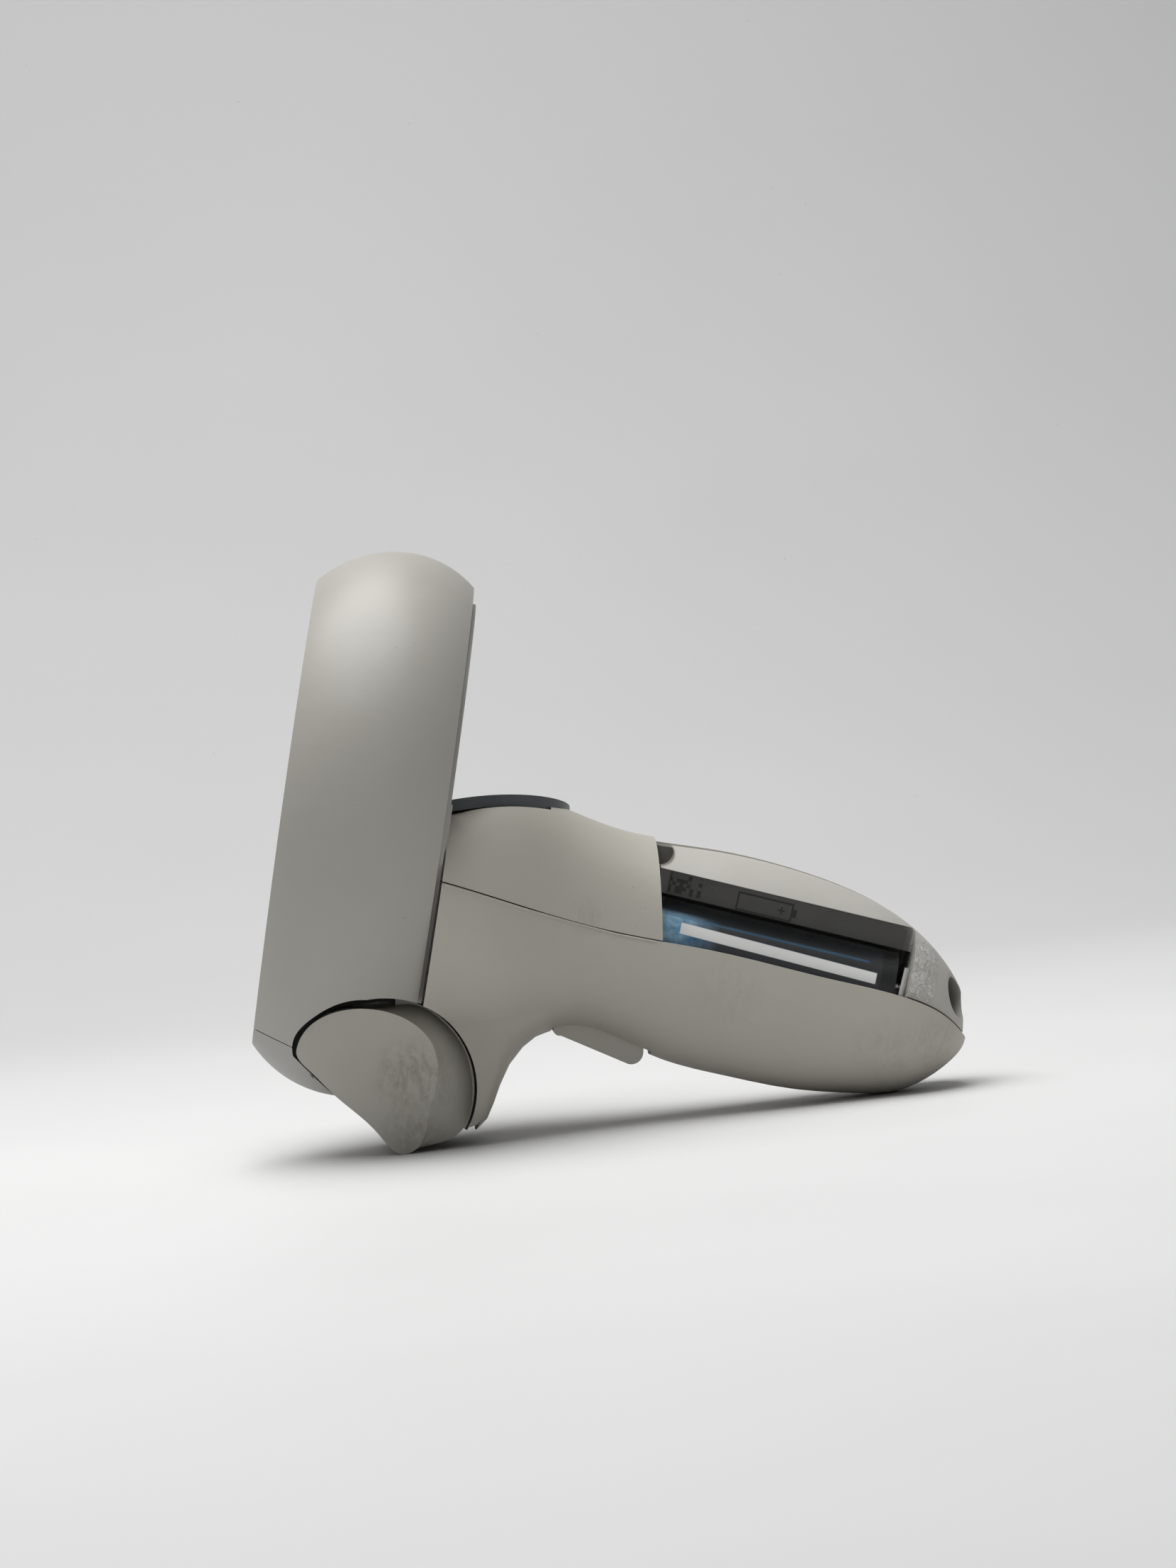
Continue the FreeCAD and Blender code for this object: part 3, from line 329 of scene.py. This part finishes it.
def liner_finish():
    """Dark label with a cell's outline, a block of squares and white scratches."""
    finish = Finish("liner", Specular_IOR_Level=0.5)
    vector, axes = finish.place()
    u, v = along_cell(axes)
    line, soft = SYMBOL_LINE, 0.04
    u0, u1, v0, v1 = SYMBOL_BOX
    frame_out = u.within(u0 - line, u1 + line, soft) * v.within(v0 - line, v1 + line, soft)
    frame_in = u.within(u0 + line, u1 - line, soft) * v.within(v0 + line, v1 - line, soft)
    middle = (v0 + v1) / 2
    nub = u.within(u1, u1 + 0.8, soft) * v.within(middle - 0.65, middle + 0.65, soft)
    plus_at = u1 - 1.8
    plus = (u.within(plus_at - 0.6, plus_at + 0.6, soft) * v.within(middle - 0.13, middle + 0.13, soft)
            ).maths("MAXIMUM", u.within(plus_at - 0.13, plus_at + 0.13, soft)
                    * v.within(middle - 0.6, middle + 0.6, soft))
    ink = (frame_out - frame_in).maths("MAXIMUM", nub).maths("MAXIMUM", plus)
    cells = finish.node("ShaderNodeCombineXYZ", None, {
        0: (u / BLOCK_SQUARE).floor(), 1: (v / BLOCK_SQUARE).floor()})
    random = finish.node("ShaderNodeTexWhiteNoise", None, {"Vector": cells})
    a0, a1, b0, b1 = BLOCK_BOX
    blocks = random.above(0.5, 0.01) * u.within(a0, a1, soft) * v.within(b0, b1, soft)
    ink = ink.maths("MAXIMUM", blocks)
    tone = finish.noise(vector, 6.0, 3.0)
    colour = finish.mix(tone, grey(0.085, 0.05), grey(0.13, 0.05))
    colour = finish.mix(ink * 0.92, colour, grey(0.012))
    scratch = finish.noise(vector, 0.8, 5.0, 0.75, 1.2, (0.35, 1.0, 1.6)).above(0.64, 0.03)
    patch = finish.noise(vector, 5.0, 2.0).above(0.53, 0.08)
    worn = scratch * patch * (0.35 + v.within(9.6, 13.0, 0.8) * 0.65)
    colour = finish.mix(worn * 0.75, colour, grey(0.55, 0.03))
    finish.set("Base Color", colour)
    finish.set("Roughness", 0.38 + worn * 0.3 + (tone - 0.5) * 0.2)
    finish.set("Normal", finish.bump(scratch * patch, 0.03, 0.6))
    return finish.material


def cell_finish():
    """Printed sleeve: near black, with a cloudy blue part and a black far end, and a pale band painted
    along it as a highlight.
    """
    finish = Finish("cell_sleeve", Specular_IOR_Level=0.6, Coat_Weight=0.6, Coat_Roughness=0.12)
    vector, axes = finish.place()
    u, v = along_cell(axes)
    front = 1 - axes[1].above(CELL_Y + 0.5, 0.2)
    cloud = finish.noise(vector, 3.2, 4.0, 0.6, 0.4)
    colour = finish.mix(cloud, (0.010, 0.012, 0.014, 1), (0.022, 0.026, 0.030, 1))
    blue_area = (1 - u.above(BLUE_END[0], 3.5)) * (1 - v.above(BLUE_END[1], 0.5)) * front
    blue = finish.mix(cloud.above(0.5, 0.16), (0.03, 0.15, 0.30, 1), (0.30, 0.52, 0.68, 1))
    colour = finish.mix(blue_area, colour, blue)
    s0, s1, t0, t1 = STRIPE_BOX
    band = v.within(t0, t1, 0.06) * u.within(s0, s1, 0.3) * front
    colour = finish.mix(band * 0.45, colour, (0.03, 0.14, 0.26, 1))
    # painted highlight: a pale band along the near side of the cell, where the lamp's reflection falls
    p0, p1, q0, q1 = CELL_HIGHLIGHT_BOX
    lower = v + u * CELL_HIGHLIGHT_SLOPE
    painted_highlight = u.within(p0, p1, 0.08) * lower.within(q0, q1, 0.06) * front
    colour = finish.mix(painted_highlight, colour, grey(0.74, 0.01))
    colour = finish.mix(u.above(BLACK_END, 0.05), colour, grey(0.006))
    finish.set("Base Color", colour)
    finish.set("Roughness", 0.24 + cloud * 0.1)
    return finish.material


def bay_finish():
    """The bay's moulding: shell grey on its rim, with painted shade inside the bay and in its latch holes,
    and tape left on the far end.
    """
    finish = Finish("bay_plastic", Specular_IOR_Level=0.45)
    vector, axes = finish.place()
    u, v = along_cell(axes)
    grain = finish.noise(vector, 0.25, 3.0, 0.6)
    cloud = finish.noise(vector, 8.0, 3.0)
    colour = finish.mix(cloud, grey(SHELL_LEVEL * 0.97, 0.08), grey(SHELL_LEVEL * 1.02, 0.06))
    u0, u1, v0, v1 = BAY_INSIDE
    # painted shade: the bay's walls inside its opening, deeper than the near flank, are darkened where
    # shade falls in the recess
    inside = u.within(u0, u1, 0.15) * v.within(v0, v1, 0.08) * axes[1].above(-13.5, 1.0)
    colour = finish.mix(inside * 0.8, colour, grey(0.16, 0.06))
    # painted shade: the latch holes are darkened where shade falls inside them
    painted_hole_shade = near((axes[0], axes[2]), FRONT_HOLE, 3.0).above(0.45, 0.1) * axes[1].above(-12.0, 0.5)
    painted_hole_shade = painted_hole_shade.maths("MAXIMUM", near(axes, END_HOLE, 5.4).above(0.35, 0.2))
    colour = finish.mix(painted_hole_shade * 0.85, colour, grey(0.075, 0.1))
    t0, t1, w0, w1 = TAPE_BOX
    tape = u.within(t0, t1, 0.5) * v.within(w0, w1, 1.0)
    ragged = finish.noise(vector, 2.2, 4.0, 0.7, 0.8).above(0.47, 0.04) * tape
    wrinkles = finish.noise(vector, 0.7, 3.0, 0.6, 1.5)
    colour = finish.mix(ragged * wrinkles.above(0.52, 0.08) * 0.6, colour, grey(0.75, 0.03))
    finish.set("Base Color", colour)
    finish.set("Roughness", (0.52 + (cloud - 0.5) * 0.1) * (1 - ragged * 0.75))
    grained = finish.bump(grain, 0.02, 0.5)
    finish.set("Normal", finish.bump(ragged * (0.4 + wrinkles), 0.28, 0.8, grained))
    return finish.material


def board_finish():
    """Green solder mask with copper traces showing through."""
    finish = Finish("circuit_board", Specular_IOR_Level=0.5)
    vector = finish.place()[0]
    tracks = finish.noise(vector, 2.0, 1.0, 0.4, 2.5).within(0.47, 0.53, 0.01)
    finish.set("Base Color", finish.mix(tracks * 0.7, (0.012, 0.10, 0.035, 1), (0.03, 0.20, 0.07, 1)))
    finish.set("Roughness", 0.35 + tracks * 0.1)
    finish.set("Normal", finish.bump(tracks, 0.02))
    return finish.material


def sweep_finish():
    """Pale matte paper with a few specks and faint scratches."""
    finish = Finish("sweep_paper", Specular_IOR_Level=0.25)
    spot = finish.node("ShaderNodeTexCoord", output=3)
    vector = finish.node("ShaderNodeMapping", None, {0: spot, 3: (1 / MM,) * 3})
    cloud = finish.noise(vector, 120.0, 3.0)
    speck = finish.noise(vector, 2.2, 2.0, 0.6).above(0.79, 0.01)
    colour = finish.mix(cloud, grey(0.655, 0.006), grey(0.69, 0.006))
    finish.set("Base Color", finish.mix(speck * 0.5, colour, grey(0.30, 0.05)))
    finish.set("Roughness", 0.55 + (cloud - 0.5) * 0.2)
    return finish.material


def finishes():
    """Every finish, by the record's material slot."""
    return {
        "ring_shell": shell_plastic("ring_plastic", RING_LEVEL, RING_MARKS, 0.42, 0.08),
        "ring_inner": shell_plastic("ring_inner_plastic", RING_LEVEL * 1.1, (), 0.45, 0.05),
        "body_shell": shell_plastic("shell_plastic", SHELL_LEVEL, SHELL_MARKS, 0.50, 0.10),
        "foot_shell": shell_plastic("foot_plastic", RING_LEVEL, (), 0.48, 0.05),
        "trigger_shell": shell_plastic("trigger_plastic", SHELL_LEVEL, TRIGGER_MARKS, 0.44, 0.09),
        "bay_plastic": bay_finish(),
        "liner": liner_finish(),
        "face_plate": plain_plastic("plate_plastic", (0.045, 0.05, 0.055, 1), 0.35, 0.01),
        "stick_plastic": plain_plastic("stick_plastic", (0.018, 0.018, 0.02, 1), 0.4),
        "stick_rubber": plain_plastic("stick_rubber", (0.022, 0.022, 0.024, 1), 0.72, 0.05, 0.4, 0.3),
        "button_plastic": plain_plastic("button_plastic", (0.02, 0.021, 0.023, 1), 0.3, 0.004),
        "mat_rubber": plain_plastic("mat_rubber", (0.10, 0.10, 0.11, 1), 0.75),
        "frame_plastic": plain_plastic("frame_plastic", (0.03, 0.03, 0.033, 1), 0.5),
        "circuit_board": board_finish(),
        "led": plain_plastic("led_lens", (0.03, 0.015, 0.03, 1), 0.12, 0.001),
        "cell_label": cell_finish(),
        "steel": metal("steel", 0.55, 0.35),
        "spring_steel": metal("spring_wire", 0.62, 0.28),
        "contact_plate": metal("contact_plate", 0.72, 0.2),
        "motor_can": metal("motor_can", 0.6, 0.3),
    }


FINISHES = {}
SLOT_OF = {row["node"]: row["material_slot"] for row in frame["record"]["subparts"]}


def dress(obj, slot):
    obj.data.materials.clear()
    obj.data.materials.append(FINISHES[slot])


def body_of(node):
    for body, members in frame["record"]["behaviour"]["bodies"].items():
        if node in members:
            return body
    raise RuntimeError("no body holds " + node)


def smooth_copy(node, name, sharp_angle):
    """A merged, smooth-shaded copy of a CAD node, which takes that node's place."""
    mesh = frame["nodes"][node].data.copy()
    mesh.name = name
    work = bmesh.new()
    work.from_mesh(mesh)
    bmesh.ops.remove_doubles(work, verts=work.verts, dist=MERGE)
    bmesh.ops.dissolve_degenerate(work, edges=work.edges, dist=MERGE)
    for face in work.faces:
        face.smooth = True
    for edge in work.edges:
        edge.smooth = edge.is_manifold and edge.calc_face_angle() < sharp_angle
    work.to_mesh(mesh)
    work.free()
    if mesh.attributes.get("custom_normal"):
        mesh.attributes.remove(mesh.attributes["custom_normal"])
    obj = bpy.data.objects.new(name, mesh)
    bpy.context.scene.collection.objects.link(obj)
    weighted = obj.modifiers.new("even_shading", "WEIGHTED_NORMAL")
    weighted.keep_sharp = True
    weighted.weight = 60
    dress(obj, SLOT_OF[node])
    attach(obj, body_of(node))
    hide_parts(node)


def add_mesh(name, mesh, body, slot):
    """A new piece with its place in its mesh, riding on a body."""
    obj = bpy.data.objects.new(name, mesh)
    bpy.context.scene.collection.objects.link(obj)
    dress(obj, slot)
    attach(obj, body)


def tube(name, points, radius, body, slot):
    """A fine round bead along points, as a mesh."""
    curve = bpy.data.curves.new(name, "CURVE")
    curve.dimensions = "3D"
    curve.bevel_depth = radius
    curve.bevel_resolution = 3
    curve.use_fill_caps = True
    line = curve.splines.new("POLY")
    line.points.add(len(points) - 1)
    for target, point in zip(line.points, points):
        target.co = (*point, 1.0)
    holder = bpy.data.objects.new(name, curve)
    bpy.context.scene.collection.objects.link(holder)
    mesh = bpy.data.meshes.new_from_object(holder.evaluated_get(bpy.context.evaluated_depsgraph_get()))
    bpy.data.objects.remove(holder)
    for face in mesh.polygons:
        face.use_smooth = True
    add_mesh(name, mesh, body, slot)


def seam_height(x):
    """Height of the seam at a distance along, in own millimetres."""
    for (x0, z0), (x1, z1) in zip(SEAM, SEAM[1:]):
        if x <= x1:
            return z0 + (z1 - z0) * (x - x0) / (x1 - x0)
    return SEAM[-1][1]


def seam_points(side, drop):
    """Points on the lower shell's flank just under the seam, found by looking in from one side."""
    skin = bpy.data.objects["lower_shell_skin"]
    bpy.context.view_layer.update()
    inward = (own(0, -side, 0) - own(0, 0, 0)).normalized()
    points = []
    for step in range(SEAM_STEPS):
        x = SEAM[0][0] + (SEAM[-1][0] - SEAM[0][0]) * step / (SEAM_STEPS - 1)
        hit, place, *_ = skin.ray_cast(own(x, side * LOOK_FROM, seam_height(x) - drop), inward)
        if hit:
            points.append(place)
    return points


def rib_tree(material):
    """Geometry nodes: ribs stood evenly round a circle."""
    tree = bpy.data.node_groups.new("cap_ribs", "GeometryNodeTree")
    face = tree.interface
    sockets = {}
    for name, kind, default in (("Count", "NodeSocketInt", 36), ("Radius", "NodeSocketFloat", 0.007),
                                ("Height", "NodeSocketFloat", 0.001), ("Width", "NodeSocketFloat", 0.0004)):
        socket = face.new_socket(name, in_out="INPUT", socket_type=kind)
        socket.default_value = default
        sockets[name] = socket.identifier
    face.new_socket("Geometry", in_out="OUTPUT", socket_type="NodeSocketGeometry")
    make, link = tree.nodes.new, tree.links.new
    inputs, outputs = make("NodeGroupInput"), make("NodeGroupOutput")
    circle = make("GeometryNodeMeshCircle")
    link(inputs.outputs["Count"], circle.inputs["Vertices"])
    link(inputs.outputs["Radius"], circle.inputs["Radius"])
    size = make("ShaderNodeCombineXYZ")
    link(inputs.outputs["Width"], size.inputs[0])
    link(inputs.outputs["Width"], size.inputs[1])
    link(inputs.outputs["Height"], size.inputs[2])
    rib = make("GeometryNodeMeshCube")
    link(size.outputs[0], rib.inputs["Size"])
    outward = make("GeometryNodeInputPosition")
    turn = make("FunctionNodeAlignRotationToVector")
    turn.axis = "X"
    link(outward.outputs[0], turn.inputs["Vector"])
    spread = make("GeometryNodeInstanceOnPoints")
    link(circle.outputs[0], spread.inputs["Points"])
    link(rib.outputs[0], spread.inputs["Instance"])
    link(turn.outputs[0], spread.inputs["Rotation"])
    real = make("GeometryNodeRealizeInstances")
    link(spread.outputs[0], real.inputs[0])
    paint = make("GeometryNodeSetMaterial")
    paint.inputs["Material"].default_value = material
    link(real.outputs[0], paint.inputs[0])
    link(paint.outputs[0], outputs.inputs[0])
    return tree, sockets


def deck_turn():
    """The face plate's axes as a matrix: Z away from the plate."""
    slope, tilt = Matrix.Rotation(-PLATE_SLOPE, 3, "Y"), Matrix.Rotation(-PLATE_TILT, 3, "X")
    return (OWN.to_3x3() @ slope @ tilt).to_4x4()


def middle(node):
    low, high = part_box(node)
    return (Vector(low) + Vector(high)) / 2


def guard_outline(grow):
    """Side view of the trigger's opening, grown evenly, from its slanted edge round to its lip."""
    points = [(x - 0.7 * grow, z + 0.7 * grow) for x, z in GUARD_SIDE]
    radius = OPENING_R + grow
    for step in range(GUARD_STEPS + 1):
        angle = math.radians(GUARD_FROM + (GUARD_TO - GUARD_FROM) * step / GUARD_STEPS)
        x = TRIGGER_AXIS[0] + radius * math.cos(angle)
        z = TRIGGER_AXIS[1] + radius * math.sin(angle)
        points.append((x, z))
    return points


def guard_web(name, side):
    """One flat web along the opening's outline, closed at both ends and facing outwards."""
    lines = guard_outline(GUARD_REACH), guard_outline(-GUARD_ROOT)
    count = len(lines[0])
    points = []
    for depth in (0.0, GUARD_THICK):
        y = side * (GUARD_Y + depth)
        points += [own(x, y, z) for line in lines for x, z in line]
    faces = []
    for k in range(count - 1):
        for a, b in ((0, 1), (3, 2), (2, 0), (1, 3)):
            faces.append((a * count + k, a * count + k + 1, b * count + k + 1, b * count + k))
    for k in (0, count - 1):
        faces.append((k, count + k, 3 * count + k, 2 * count + k))
    mesh = bpy.data.meshes.new(name)
    mesh.from_pydata(points, [], faces)
    work = bmesh.new()
    work.from_mesh(mesh)
    bmesh.ops.recalc_face_normals(work, faces=work.faces)
    work.to_mesh(mesh)
    work.free()
    return mesh


# ---- add-on ---------------------------------------------------------------------------------
class ControllerSizes(bpy.types.PropertyGroup):
    """Sizes of the finished pieces."""
    sharp_angle: bpy.props.FloatProperty(
        name="Sharp angle", description="Edges that turn more than this stay crisp",
        default=math.radians(24), subtype="ANGLE")
    rib_count: bpy.props.IntProperty(
        name="Cap ribs", description="Ribs round the thumb stick's cap", default=36, min=3)
    rib_length: bpy.props.FloatProperty(
        name="Rib length", description="Length of one rib on the cap's rim",
        default=1.1 * MM, subtype="DISTANCE", unit="LENGTH")
    rib_width: bpy.props.FloatProperty(
        name="Rib width", description="Width of one rib", default=0.42 * MM, subtype="DISTANCE",
        unit="LENGTH")
    cap_radius: bpy.props.FloatProperty(
        name="Cap radius", description="Radius on which the ribs stand", default=7.2 * MM,
        subtype="DISTANCE", unit="LENGTH")
    lip_radius: bpy.props.FloatProperty(
        name="Seam lip", description="Radius of the rounded lip along the seam", default=0.16 * MM,
        subtype="DISTANCE", unit="LENGTH")


class StageSizes(bpy.types.PropertyGroup):
    """The sweep, the lights and the camera."""
    floor_back: bpy.props.FloatProperty(
        name="Floor depth", description="Where the sweep starts to rise behind the controller",
        default=0.45, subtype="DISTANCE", unit="LENGTH")
    sweep_radius: bpy.props.FloatProperty(
        name="Sweep radius", description="Radius of the sweep's curve",
        default=0.5, subtype="DISTANCE", unit="LENGTH")
    key_power: bpy.props.FloatProperty(
        name="Key light", description="Power of the soft light overhead", default=10.2, subtype="POWER",
        unit="POWER")
    fill_power: bpy.props.FloatProperty(
        name="Fill light", description="Power of the light from the front", default=0.32,
        subtype="POWER", unit="POWER")
    lens: bpy.props.FloatProperty(
        name="Lens", description="Focal length", default=104.0, subtype="DISTANCE_CAMERA", unit="CAMERA")


class CONTROLLER_OT_finishes(bpy.types.Operator):
    """Make the finishes and give every CAD part its own."""
    bl_idname = "controller.finishes"
    bl_label = "Finishes"

    def execute(self, context):
        FINISHES.update(finishes())
        for node, obj in frame["nodes"].items():
            dress(obj, SLOT_OF[node])
        return {"FINISHED"}


class CONTROLLER_OT_shells(bpy.types.Operator):
    """Smooth skins of the ring, shells, trigger and face plate."""
    bl_idname = "controller.shells"
    bl_label = "Shells"

    def execute(self, context):
        angle = context.scene.controller_sizes.sharp_angle
        for node in ("ring_outer_shell", "ring_inner_shell", "ring_foot", "front_cover", "upper_shell",
                     "lower_shell", "face_plate", "battery_bay", "battery_cell", "trigger", "grip_button",
                     "stick_cap", "stick_shaft", "button_front", "button_rear", "home_button"):
            smooth_copy(node, node + "_skin", angle)
        return {"FINISHED"}


class CONTROLLER_OT_seam(bpy.types.Operator):
    """The rounded lip along the lower shell's edge, on both flanks."""
    bl_idname = "controller.seam"
    bl_label = "Seam lip"

    def execute(self, context):
        sizes = context.scene.controller_sizes
        for side, name in ((-1, "seam_lip_bay_side"), (1, "seam_lip_far_side")):
            points = seam_points(side, sizes.lip_radius / MM + 0.1)
            if len(points) < SEAM_STEPS / 2:
                raise RuntimeError("the seam lip misses the lower shell")
            tube(name, points, sizes.lip_radius, "frame", "body_shell")
        return {"FINISHED"}


class CONTROLLER_OT_cap_ribs(bpy.types.Operator):
    """Grip ribs round the thumb stick's cap."""
    bl_idname = "controller.cap_ribs"
    bl_label = "Cap ribs"

    def execute(self, context):
        sizes = context.scene.controller_sizes
        tree, sockets = rib_tree(FINISHES["stick_rubber"])
        holder = bpy.data.objects.new("stick_cap_ribs", bpy.data.meshes.new("ribs"))
        context.scene.collection.objects.link(holder)
        modifier = holder.modifiers.new("ribs", "NODES")
        modifier.node_group = tree
        modifier[sockets["Count"]] = sizes.rib_count
        modifier[sockets["Radius"]] = sizes.cap_radius
        modifier[sockets["Height"]] = sizes.rib_length
        modifier[sockets["Width"]] = sizes.rib_width
        context.view_layer.update()
        mesh = bpy.data.meshes.new_from_object(holder.evaluated_get(context.evaluated_depsgraph_get()))
        bpy.data.objects.remove(holder)
        mesh.transform(Matrix.Translation(middle("stick_cap")) @ deck_turn())
        add_mesh("stick_cap_ribs", mesh, "stick", "stick_rubber")
        return {"FINISHED"}


class CONTROLLER_OT_light_guard(bpy.types.Operator):
    """Thin dark webs on the trigger, inside the collar, that close the view through its gap: dark sheets
    standing in for the shade in that gap
    """
    bl_idname = "controller.light_guard"
    bl_label = "Trigger shade webs"

    def execute(self, context):
        for name, side in (("trigger_shade_web_near", -1), ("trigger_shade_web_far", 1)):
            # dark sheets that stand in for the shade in the trigger's gap
            add_mesh(name, guard_web(name, side), "trigger", "frame_plastic")
        return {"FINISHED"}


class CONTROLLER_OT_stage(bpy.types.Operator):
    """The pale sweep, soft lights and the camera."""
    bl_idname = "controller.stage"
    bl_label = "Stage"

    def execute(self, context):
        sizes = context.scene.controller_stage
        make_sweep(sizes.floor_back, sizes.sweep_radius)
        make_lights(sizes.key_power, sizes.fill_power)
        make_camera(sizes.lens)
        context.scene.view_settings.view_transform = "Standard"
        return {"FINISHED"}


def make_sweep(floor_back, radius):
    """One sheet: a floor that curves up into a backdrop."""
    profile = [(SWEEP_FRONT, 0.0), (floor_back, 0.0)]
    for step in range(1, SWEEP_STEPS + 1):
        turn = math.pi / 2 * step / SWEEP_STEPS
        profile.append((floor_back + radius * math.sin(turn), radius * (1 - math.cos(turn))))
    profile.append((floor_back + radius, SWEEP_TOP))
    points = [(side * SWEEP_HALF_WIDTH, y, z) for y, z in profile for side in (-1, 1)]
    faces = [(2 * i, 2 * i + 1, 2 * i + 3, 2 * i + 2) for i in range(len(profile) - 1)]
    mesh = bpy.data.meshes.new("sweep")
    mesh.from_pydata(points, [], faces)
    for face in mesh.polygons:
        face.use_smooth = True
    obj = bpy.data.objects.new("sweep", mesh)
    bpy.context.scene.collection.objects.link(obj)
    obj.data.materials.append(sweep_finish())


def make_light(name, spot, aim, size, power):
    data = bpy.data.lights.new(name, "AREA")
    data.shape = "RECTANGLE"
    data.size, data.size_y = size
    data.energy = power
    obj = bpy.data.objects.new(name, data)
    bpy.context.scene.collection.objects.link(obj)
    obj.location = spot
    obj.rotation_euler = (Vector(aim) - Vector(spot)).to_track_quat("-Z", "Y").to_euler()


def make_lights(key, fill):
    make_light("key", (-0.15, 0.0, 0.8), (0.0, 0.05, 0.03), (0.9, 0.7), key)
    make_light("fill", (-0.1, -1.1, 0.5), (0.0, 0.0, 0.05), (1.0, 0.7), fill)
    world = bpy.data.worlds.new("room")
    world.use_nodes = True
    glow = world.node_tree.nodes["Background"]
    glow.inputs["Color"].default_value = ROOM_COLOUR
    glow.inputs["Strength"].default_value = ROOM_STRENGTH
    bpy.context.scene.world = world


def make_camera(lens):
    """Level with the controller's own axes, square to its bay side."""
    data = bpy.data.cameras.new("camera")
    data.lens = lens
    data.sensor_width = 36.0
    data.sensor_fit = "AUTO"
    data.clip_end = 20.0
    obj = bpy.data.objects.new("camera", data)
    bpy.context.scene.collection.objects.link(obj)
    spot, aim = own(*CAMERA_SPOT), own(*CAMERA_AIM)
    forward = (aim - spot).normalized()
    right = forward.cross(OWN.to_3x3() @ Vector((0, 0, 1))).normalized()
    up = right.cross(forward)
    turn = Matrix((right, up, -forward)).transposed().to_4x4()
    obj.matrix_world = Matrix.Translation(spot) @ turn
    bpy.context.scene.camera = obj


class CONTROLLER_PT_pieces(bpy.types.Panel):
    """The controller's pieces, in the order they are made."""
    bl_label = "Hand Controller"
    bl_idname = "CONTROLLER_PT_pieces"
    bl_space_type = "VIEW_3D"
    bl_region_type = "UI"
    bl_category = "Controller"

    def draw(self, context):
        for operator in OPERATORS:
            self.layout.operator(operator.bl_idname)
        for group in (context.scene.controller_sizes, context.scene.controller_stage):
            for name in group.bl_rna.properties.keys():
                if name not in ("rna_type", "name"):
                    self.layout.prop(group, name)


OPERATORS = (CONTROLLER_OT_finishes, CONTROLLER_OT_shells, CONTROLLER_OT_seam, CONTROLLER_OT_cap_ribs,
             CONTROLLER_OT_light_guard, CONTROLLER_OT_stage)
CLASSES = (ControllerSizes, StageSizes) + OPERATORS + (CONTROLLER_PT_pieces,)


def register():
    for entry in CLASSES:
        bpy.utils.register_class(entry)
    bpy.types.Scene.controller_sizes = bpy.props.PointerProperty(type=ControllerSizes)
    bpy.types.Scene.controller_stage = bpy.props.PointerProperty(type=StageSizes)


def unregister():
    del bpy.types.Scene.controller_sizes
    del bpy.types.Scene.controller_stage
    for entry in reversed(CLASSES):
        bpy.utils.unregister_class(entry)


def main():
    register()
    bpy.ops.controller.finishes()
    bpy.ops.controller.shells()
    bpy.ops.controller.seam()
    bpy.ops.controller.cap_ribs()
    bpy.ops.controller.light_guard()
    bpy.ops.controller.stage()


if __name__ == "__main__":
    main()
